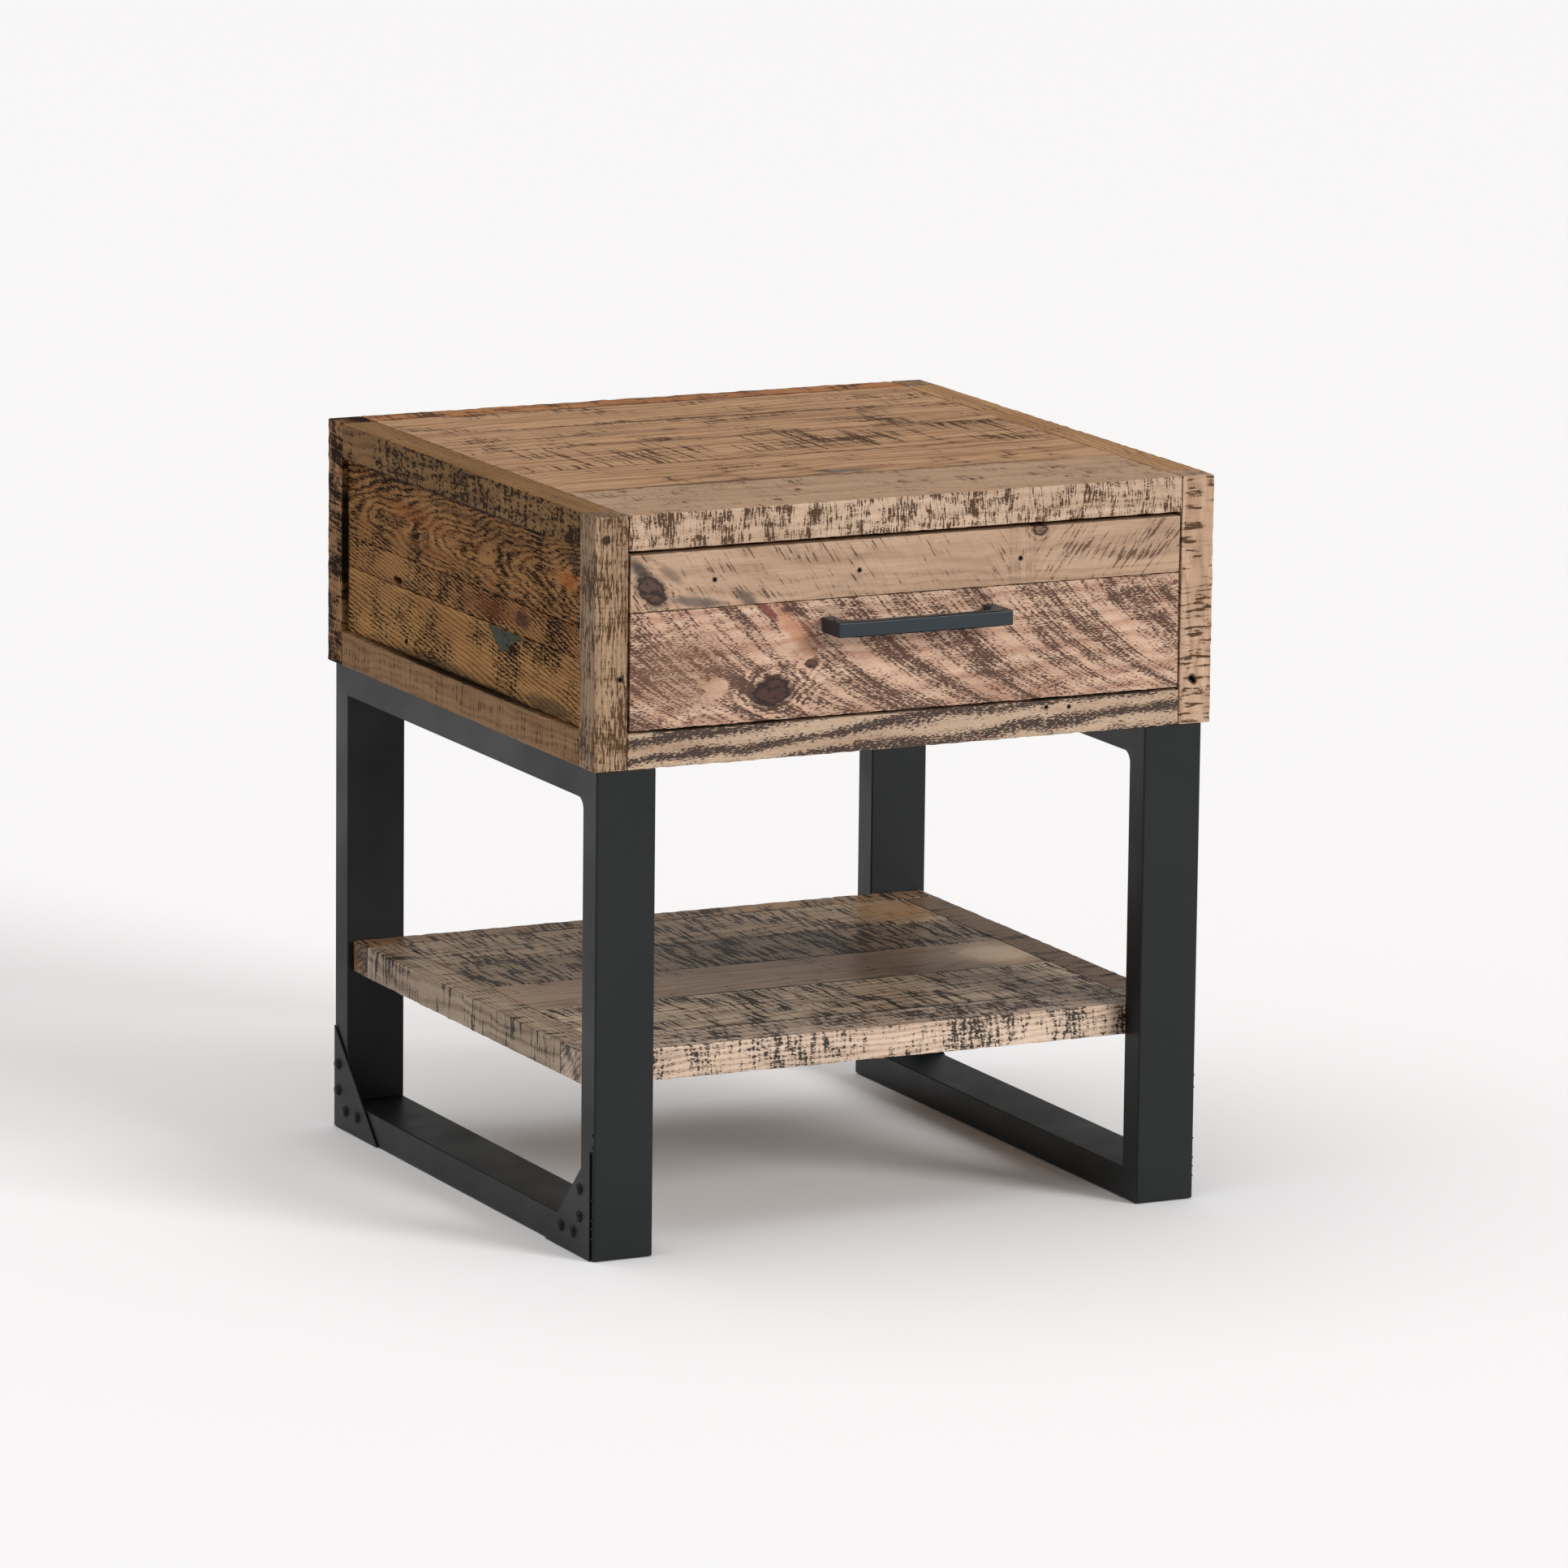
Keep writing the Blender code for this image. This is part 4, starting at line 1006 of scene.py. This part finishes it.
# %% Front board of the top
board = saw_board("top_board_front", "X", arris=FRAME_ARRIS)
give(board, pine(
    "front board pine", "XZY",
    {**GREY_PINE, "Seed": 66.0, "Pale": "#c4aa93", "Ruddy": "#9c7c62", "Stain": "#4f3a2b",
     "Pith": (0.01, 700, -150), "Ring width": 7.0, "Ring contrast": 0.2, "Bend": 30,
     "Saw reach": 4000, "Saw centre": 570, "Stroke gap": 1.25,
     "Stroke length": 11, "Row weight": 1.1, "Fleck weight": 0.6,
     "Fleck": (2.0, 0.9, 0.9), "Patch": 12, "Patch length": 30, "Patchiness": 0.9,
     "Amount": 0.43, "Haze": 0.4},
    planed=("Z", (0.80, 0.72, 0.63)), lacquer=0.1,
), "table", "pine_top", "top_board_front")
print(len(TOP_LOOKS) + 1, "boards make the top")

# %% [markdown]
# ## The shelf
#
# The shelf is greyer and glossier than the case, with the saw's cross strokes all over it. On two
# of its boards the right end is painted paler and less stained, as painted light where more light
# falls from the right, and dirt has gathered in the joint before each board.

# %% How the shelf looks
SHELF_PINE = {"Pale": "#b19678", "Ruddy": "#735940", "Stain": "#1d150e", "Ring width": 5.0,
              "Saw reach": 3000, "Stroke gap": 2.8, "Stroke length": 34, "Row weight": 1.3,
              "Fleck weight": 0.6, "Patchiness": 0.6, "Patch": 30, "Amount": 0.42,
              "Haze": 0.3}
SHELF_LOOKS = {
    "shelf_board_rear": {"Pale": "#a5815e", "Ruddy": "#80603f", "Amount": 0.4},
    "shelf_board_1": {"Amount": 0.45, "Pale": "#c0a382"},
    "shelf_board_2": {"Amount": 0.46, "Pale": "#9c8468"},
    "shelf_board_3": {"Amount": 0.28, "Pale": "#a98c70", "Row weight": 0.6},
    "shelf_board_4": {"Amount": 0.44, "Pale": "#dcc2a4"},
    "shelf_board_front": {"Amount": 0.43, "Pale": "#d8c0ab", "Ruddy": "#a98b74",
                          "Stroke length": 13, "Row weight": 0.8, "Fleck weight": 0.85},
}
SHELF_ARRIS = 0.0010
JOINT_DIRT = "#1a120c"
print("looks for", len(SHELF_LOOKS), "boards")

# %% Shelf boards
for number, (node, look) in enumerate(SHELF_LOOKS.items()):
    board = saw_board(node, "X", arris=SHELF_ARRIS)
    low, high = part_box(node)
    middle, half_width = 500 * (low.y + high.y), 500 * (high.y - low.y)
    # The zone here and the blot given below to boards 1 and 3 are painted light: their right ends
    # are paler and less stained where more light falls from the right.
    zones = [(200, middle, 36, 46, 0, -0.2)] if node[-1] in "13" else ()
    blots = [(0, 1000 * low.y, 240, 4, 0, JOINT_DIRT, 0.9)]
    if node == "shelf_board_front":
        zones, blots = [(0, middle, 280, 0.8 * half_width, 0, 0.06)], ()
    elif node == "shelf_board_1":
        blots.append((205, middle, 46, half_width, 0, "#b28655", 0.6))
    elif node == "shelf_board_3":
        blots.append((205, middle, 42, half_width, 0, "#ecd2b2", 0.65))
    give(board, pine(
        node.replace("_", " ") + " pine", "XYZ",
        {**SHELF_PINE, "Seed": 70.0 + number, "Pith": (0.03, 200 - 90 * number, 60), **look},
        zones=zones, blots=blots, roughness=0.3, lacquer=0.35,
    ), "table", "pine_shelf", node)
print(len(SHELF_LOOKS), "boards run from frame to frame")

# %% Shelf end pieces
for number, (side, shade_of) in enumerate((("left", "#b09a82"), ("right", "#7d6350"))):
    node = f"shelf_end_{side}"
    board = saw_board(node, "Y", arris=SHELF_ARRIS)
    give(board, pine(
        f"shelf end pine ({side})", "YXZ",
        {**SHELF_PINE, "Seed": 78.0 + number, "Pith": (0.0, 0, 60), "Amount": 0.34,
         "Pale": shade_of},
        roughness=0.34, lacquer=0.2,
    ), "table", "pine_dark", node)
print("an end piece closes the shelf on each side")

# %% [markdown]
# ## Powder-coated steel
#
# Powder coat is a satin paint with a very fine orange peel. It is nearly black, and its gloss
# wanders a little where hands and cloths have been.

# %% Metal finishes
def painted(name, colour, roughness, grain):
    """Satin paint with an orange peel of grain bumps per metre."""
    material, tree = new_material(name)
    coordinates = add_node(tree, "TexCoord").outputs
    peel = add_node(tree, "TexNoise", {"Vector": coordinates["Object"], "Scale": grain,
                                       "Detail": 2})
    bump = add_node(tree, "Bump", {"Height": peel, "Distance": 0.0001, "Strength": 0.4})
    smudge = add_node(tree, "TexNoise", {"Vector": coordinates["Object"], "Scale": 14,
                                         "Detail": 4})
    gloss = add_node(tree, "MapRange", {"Value": smudge, "From Min": 0.3, "From Max": 0.7,
                                        "To Min": roughness - 0.06, "To Max": roughness + 0.08})
    shader = add_node(tree, "BsdfPrincipled", {
        "Base Color": linear(colour), "Roughness": gloss, "Normal": bump,
        "Specular IOR Level": 0.28})
    add_node(tree, "OutputMaterial", {"Surface": shader})
    return material


POWDER_COAT = painted("black powder coat", "#101416", 0.4, 700)
HANDLE_PAINT = painted("blue-black handle paint", "#252d34", 0.36, 900)

ZINC, tree = new_material("bright zinc plate")
coordinates = add_node(tree, "TexCoord").outputs
spangle = add_node(tree, "TexNoise", {"Vector": coordinates["Object"], "Scale": 120,
                                      "Detail": 3})
gloss = add_node(tree, "MapRange", {"Value": spangle, "To Min": 0.22, "To Max": 0.4})
plate = add_node(tree, "BsdfPrincipled", {
    "Base Color": linear("#b9bbbe"), "Metallic": 1.0, "Roughness": gloss})
add_node(tree, "OutputMaterial", {"Surface": plate})
print("made", [material.name for material in (POWDER_COAT, HANDLE_PAINT, ZINC)])

# %% [markdown]
# ## Welded leg frames
#
# Each frame is one loop of tube, so it is made as one piece: a block as large as the loop, both
# sides inset by the tube's depth and bridged through. Only the front upper corner has a large
# round inside it; all other edges have the small radius of rolled tube.

# %% Leg frames
TUBE_RADIUS = 0.0016
CORNER_ROUND = 0.010

for side in ("left", "right"):
    nodes = [f"{part}_{side}" for part in ("leg_front", "leg_rear", "foot_tube", "head_tube")]
    boxes = [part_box(node) for node in nodes]
    low = Vector([min(box[0][axis] for box in boxes) for axis in range(3)])
    high = Vector([max(box[1][axis] for box in boxes) for axis in range(3)])
    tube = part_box(f"foot_tube_{side}")[1].z
    loop = start_box(f"leg_frame_{side}", low, high)
    pick_faces(loop, lambda normal, centre: abs(normal.x) > 0.9)
    bpy.ops.mesh.inset(thickness=tube, use_individual=True)
    bpy.ops.mesh.bridge_edge_loops()
    inner_front, inner_top = low.y + tube, high.z - tube
    pick_edges(loop, lambda a, b: abs(a.x - b.x) > 1e-4 and abs(a.y - inner_front) < 1e-4
               and abs(a.z - inner_top) < 1e-4)
    bpy.ops.mesh.bevel(offset=CORNER_ROUND, segments=8, affect="EDGES")
    bpy.ops.mesh.select_all(action="DESELECT")
    bpy.ops.mesh.edges_select_sharp(sharpness=math.radians(40))
    bpy.ops.mesh.bevel(offset=TUBE_RADIUS, segments=3, affect="EDGES")
    bpy.ops.object.mode_set(mode="OBJECT")
    shade(loop, 30)
    give(loop, POWDER_COAT, "table", "black_powder_coat", *nodes)
print("two welded loops of", round(1000 * tube, 1), "mm deep tube")

# %% [markdown]
# ## Corner plates and rivets
#
# A plate is a thin block with its upper corner cut off by a slanting plane. Four rivets with a
# flat rim and a domed head hold it, and beside the upright edge of each front plate a few spots
# of weld show.

# %% Rivets, weld spots and copies
RIM_RADIUS, RIM_HEIGHT, RIM_ROUND = 0.0052, 0.0006, 0.0003
HEAD_RADIUS, HEAD_HEIGHT, HEAD_ROUND = 0.0043, 0.0027, 0.0023
WELD_RADIUS = 0.0011


def make_disc(radius, height, rounding):
    """A round head that stands on the origin and points along X, its outer rim rounded."""
    bpy.ops.object.select_all(action="DESELECT")
    bpy.ops.mesh.primitive_cylinder_add(vertices=24, radius=radius, depth=height,
                                        rotation=(0, math.pi / 2, 0))
    disc = bpy.context.object
    bpy.ops.object.transform_apply(rotation=True)
    bpy.ops.object.mode_set(mode="EDIT")
    pick_faces(disc, lambda normal, middle: normal.x > 0.9)
    bpy.ops.mesh.region_to_loop()
    bpy.ops.mesh.bevel(offset=rounding, segments=5, affect="EDGES")
    bpy.ops.mesh.select_all(action="SELECT")
    bpy.ops.transform.translate(value=(height / 2, 0, 0))
    bpy.ops.object.mode_set(mode="OBJECT")
    return disc


def copy_to(piece, place, turn=0):
    """A copy with its own mesh, turned about Z and moved to place."""
    mesh = piece.data.copy()
    mesh.transform(Matrix.Translation(place) @ Matrix.Rotation(turn, 4, "Z"))
    made = bpy.data.objects.new(piece.name + " copy", mesh)
    bpy.context.scene.collection.objects.link(made)
    return made


def join(pieces):
    """Joins the pieces into the first one."""
    bpy.ops.object.select_all(action="DESELECT")
    for piece in pieces:
        piece.select_set(True)
    bpy.context.view_layer.objects.active = pieces[0]
    bpy.ops.object.join()
    return pieces[0]


rivet = join([make_disc(RIM_RADIUS, RIM_HEIGHT, RIM_ROUND),
              make_disc(HEAD_RADIUS, HEAD_HEIGHT, HEAD_ROUND)])
bpy.ops.object.select_all(action="DESELECT")
bpy.ops.mesh.primitive_ico_sphere_add(subdivisions=2, radius=WELD_RADIUS)
weld_spot = bpy.context.object
print("a rivet stands", round(1000 * HEAD_HEIGHT, 1), "mm proud")

# %% Corner plates
PLATES = {
    "front": (((0.0240, 0.0535), (0.0240, 0.0315), (0.0355, 0.0170), (0.0580, 0.0170)), 1),
    "rear": (((0.0105, 0.0535), (0.0105, 0.0315), (0.0255, 0.0165), (0.0490, 0.0165)), -1),
}
PLATE_THICKNESS = 0.0015
WELD_SPOTS = (0.018, 0.026, 0.033, 0.049, 0.091, 0.101)
WELD_AWAY = 0.0028

for side, outwards in (("left", -1), ("right", 1)):
    for end, (rivets, inwards) in PLATES.items():
        node = f"corner_plate_{end}_{side}"
        low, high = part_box(node)
        face = outwards * (min(abs(low.x), abs(high.x)) + PLATE_THICKNESS)
        back = face - outwards * PLATE_THICKNESS
        low.x, high.x = min(face, back), max(face, back)
        plate = start_box(node + "_riveted", low, high)
        toe = high.y if inwards > 0 else low.y
        heel = low.y if inwards > 0 else high.y
        slant = Vector((0, inwards * (high.z - low.z), abs(toe - heel)))
        bpy.ops.mesh.bisect(plane_co=(0, heel, high.z), plane_no=slant, use_fill=True,
                            clear_outer=True)
        bpy.ops.mesh.select_all(action="DESELECT")
        bpy.ops.mesh.edges_select_sharp(sharpness=math.radians(30))
        bpy.ops.mesh.bevel(offset=0.0005, segments=2, affect="EDGES")
        bpy.ops.object.mode_set(mode="OBJECT")
        leg_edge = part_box(f"leg_{end}_{side}")[0 if end == "front" else 1].y
        turn = 0 if outwards > 0 else math.pi
        pieces = [copy_to(rivet, (face, leg_edge + inwards * along, up), turn)
                  for along, up in rivets]
        if end == "front":
            pieces += [copy_to(weld_spot, (back, leg_edge + WELD_AWAY, up))
                       for up in WELD_SPOTS]
        plate = join([plate, *pieces])
        shade(plate, 35)
        give(plate, POWDER_COAT, "table", "black_powder_coat", node)
for pattern in (rivet, weld_spot):
    bpy.data.objects.remove(pattern)
print("four plates, each with", len(rivets), "rivets")

# %% [markdown]
# ## The bar handle
#
# The bar starts as a block. It is sliced near both ends, and the two end faces at its back are
# pulled out as feet. The corners between bar and feet are rounded with an 11 mm bevel.

# %% Handle
FOOT, BAR_DEPTH, HANDLE_ROUND, HANDLE_ARRIS = 0.011, 0.009, 0.011, 0.0012

low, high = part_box("drawer_handle")
bar_back = low.y + BAR_DEPTH
handle = start_box("bar_handle", low, Vector((high.x, bar_back, high.z)))
for x in (high.x - FOOT, low.x + FOOT):
    bpy.ops.mesh.select_all(action="SELECT")
    bpy.ops.mesh.bisect(plane_co=(x, 0, 0), plane_no=(1, 0, 0))
pick_faces(handle, lambda normal, centre: normal.y > 0.9 and abs(centre.x) > high.x - FOOT)
bpy.ops.mesh.extrude_region_move(TRANSFORM_OT_translate={"value": (0, high.y - bar_back, 0)})
pick_edges(handle, lambda a, b: abs(a.z - b.z) > 1e-4 and abs(a.y - bar_back) < 1e-5
           and abs(abs(a.x) - high.x + FOOT) < 1e-5)
bpy.ops.mesh.bevel(offset=HANDLE_ROUND, segments=10, affect="EDGES")
bpy.ops.mesh.select_all(action="DESELECT")
bpy.ops.mesh.edges_select_sharp(sharpness=math.radians(50))
bpy.ops.mesh.bevel(offset=HANDLE_ARRIS, segments=3, affect="EDGES")
bpy.ops.object.mode_set(mode="OBJECT")
shade(handle, 30)
give(handle, HANDLE_PAINT, "drawer", "handle_paint", "drawer_handle")
print("the handle is", round(1000 * (high.x - low.x)), "mm long")

# %% [markdown]
# ## Ball-bearing slides
#
# A slide is three channels rolled from thin sheet, one inside the other. Each is drawn as
# a flat web whose two edges are extruded into lips and then into short curls, and a solidify
# modifier gives it the sheet's thickness. Rows of balls run between the lips.

# %% Channels
SHEET, CURL, CURL_ROUND = 0.0010, 0.0022, 0.0012


def roll_channel(name, node, web_x, lip_x, half_height):
    """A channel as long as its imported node, its web at web_x and its lips reaching lip_x."""
    low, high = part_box(node)
    middle = (low.z + high.z) / 2
    bpy.ops.object.select_all(action="DESELECT")
    bpy.ops.mesh.primitive_plane_add(size=1, rotation=(0, math.pi / 2, 0))
    channel = bpy.context.object
    channel.name = name
    bpy.ops.object.transform_apply(rotation=True)
    bpy.ops.object.mode_set(mode="EDIT")
    bpy.ops.transform.resize(value=(1, high.y - low.y, 2 * half_height))
    bpy.ops.transform.translate(value=(web_x, (low.y + high.y) / 2, middle))
    for up in (1, -1):
        edge_z = middle + up * half_height
        pick_edges(channel, lambda a, b: abs(a.z - edge_z) < 1e-5 and abs(b.z - edge_z) < 1e-5)
        bpy.ops.mesh.extrude_edges_move(
            TRANSFORM_OT_translate={"value": (lip_x - web_x, 0, 0)})
        bpy.ops.mesh.extrude_edges_move(TRANSFORM_OT_translate={"value": (0, 0, -up * CURL)})
    pick_edges(channel, lambda a, b: abs(a.y - b.y) > 1e-4 and abs(a.z - b.z) < 1e-5
               and abs(abs(a.z - middle) - half_height) < 1e-5)
    bpy.ops.mesh.bevel(offset=CURL_ROUND, segments=4, affect="EDGES")
    bpy.ops.object.mode_set(mode="OBJECT")
    apply_modifier(channel, "SOLIDIFY", thickness=SHEET, offset=0)
    return channel


print("rolled from", round(1000 * SHEET, 1), "mm sheet")

# %% Slides
MEMBERS = {
    "outer": (0.2406, 0.2316, 0.0219, "table"),
    "middle": (0.2385, 0.2316, 0.0178, "slide_carriage"),
    "inner": (0.2291, 0.2365, 0.0134, "drawer"),
}
BALL_RADIUS, BALLS_IN_ROW = 0.0013, 14
BALL_ROWS = [(0.2353, 0.0199), (0.2353, -0.0199), (0.2345, 0.0156), (0.2345, -0.0156)]

bpy.ops.object.select_all(action="DESELECT")
bpy.ops.mesh.primitive_uv_sphere_add(segments=12, ring_count=8, radius=BALL_RADIUS)
ball = bpy.context.object
for side, outwards in (("left", -1), ("right", 1)):
    channels = {}
    for member, (web, lip, half_height, body) in MEMBERS.items():
        node = f"slide_{member}_{side}"
        channels[member] = roll_channel(f"{node}_channel", node, outwards * web, outwards * lip,
                                        half_height)
    low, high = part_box(f"slide_middle_{side}")
    middle_z = sum(corner.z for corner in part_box(f"slide_outer_{side}")) / 2
    spots = [low.y + (number + 0.5) / BALLS_IN_ROW * (high.y - low.y)
             for number in range(BALLS_IN_ROW)]
    balls = [copy_to(ball, (outwards * away, y, middle_z + up))
             for away, up in BALL_ROWS for y in spots]
    join([channels["middle"], *balls])
    for member, (web, lip, half_height, body) in MEMBERS.items():
        shade(channels[member], 35)
        give(channels[member], ZINC, body, "zinc_plated_steel", f"slide_{member}_{side}")
bpy.data.objects.remove(ball)
print(len(MEMBERS), "channels on each side, and", len(balls), "balls between them")

# %% [markdown]
# ## The drawer box
#
# The box behind the front is new, planed wood without any stain, so it gets the same pine with
# hardly a saw mark. These are plain boards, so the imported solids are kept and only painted, and
# so are the two screws that hold the handle.

# %% Drawer box and screws
BOX_PINE = {"Pale": "#d6c09c", "Ruddy": "#c2a37a", "Amount": 0.0, "Haze": 0.0,
            "Ring width": 7.0, "Ring contrast": 0.5, "Row weight": 0.1}
BOX_NODES = {
    "drawer_box_front": ("XZY", (0.02, 380, -260)),
    "drawer_back": ("XZY", (0.02, 560, 240)),
    "drawer_side_left": ("YZX", (0.02, 520, -180)),
    "drawer_side_right": ("YZX", (0.02, 400, 180)),
    "drawer_bottom": ("XYZ", (0.05, 40, 400)),
}
for number, (node, (axes, pith)) in enumerate(BOX_NODES.items()):
    paint_node(node, pine(node.replace("_", " ") + " wood", axes,
                          {**BOX_PINE, "Seed": 90.0 + number, "Pith": pith}, roughness=0.5))
for side in ("left", "right"):
    paint_node(f"handle_screw_{side}", ZINC)
print(len(BOX_NODES), "pieces of the drawer box are painted")
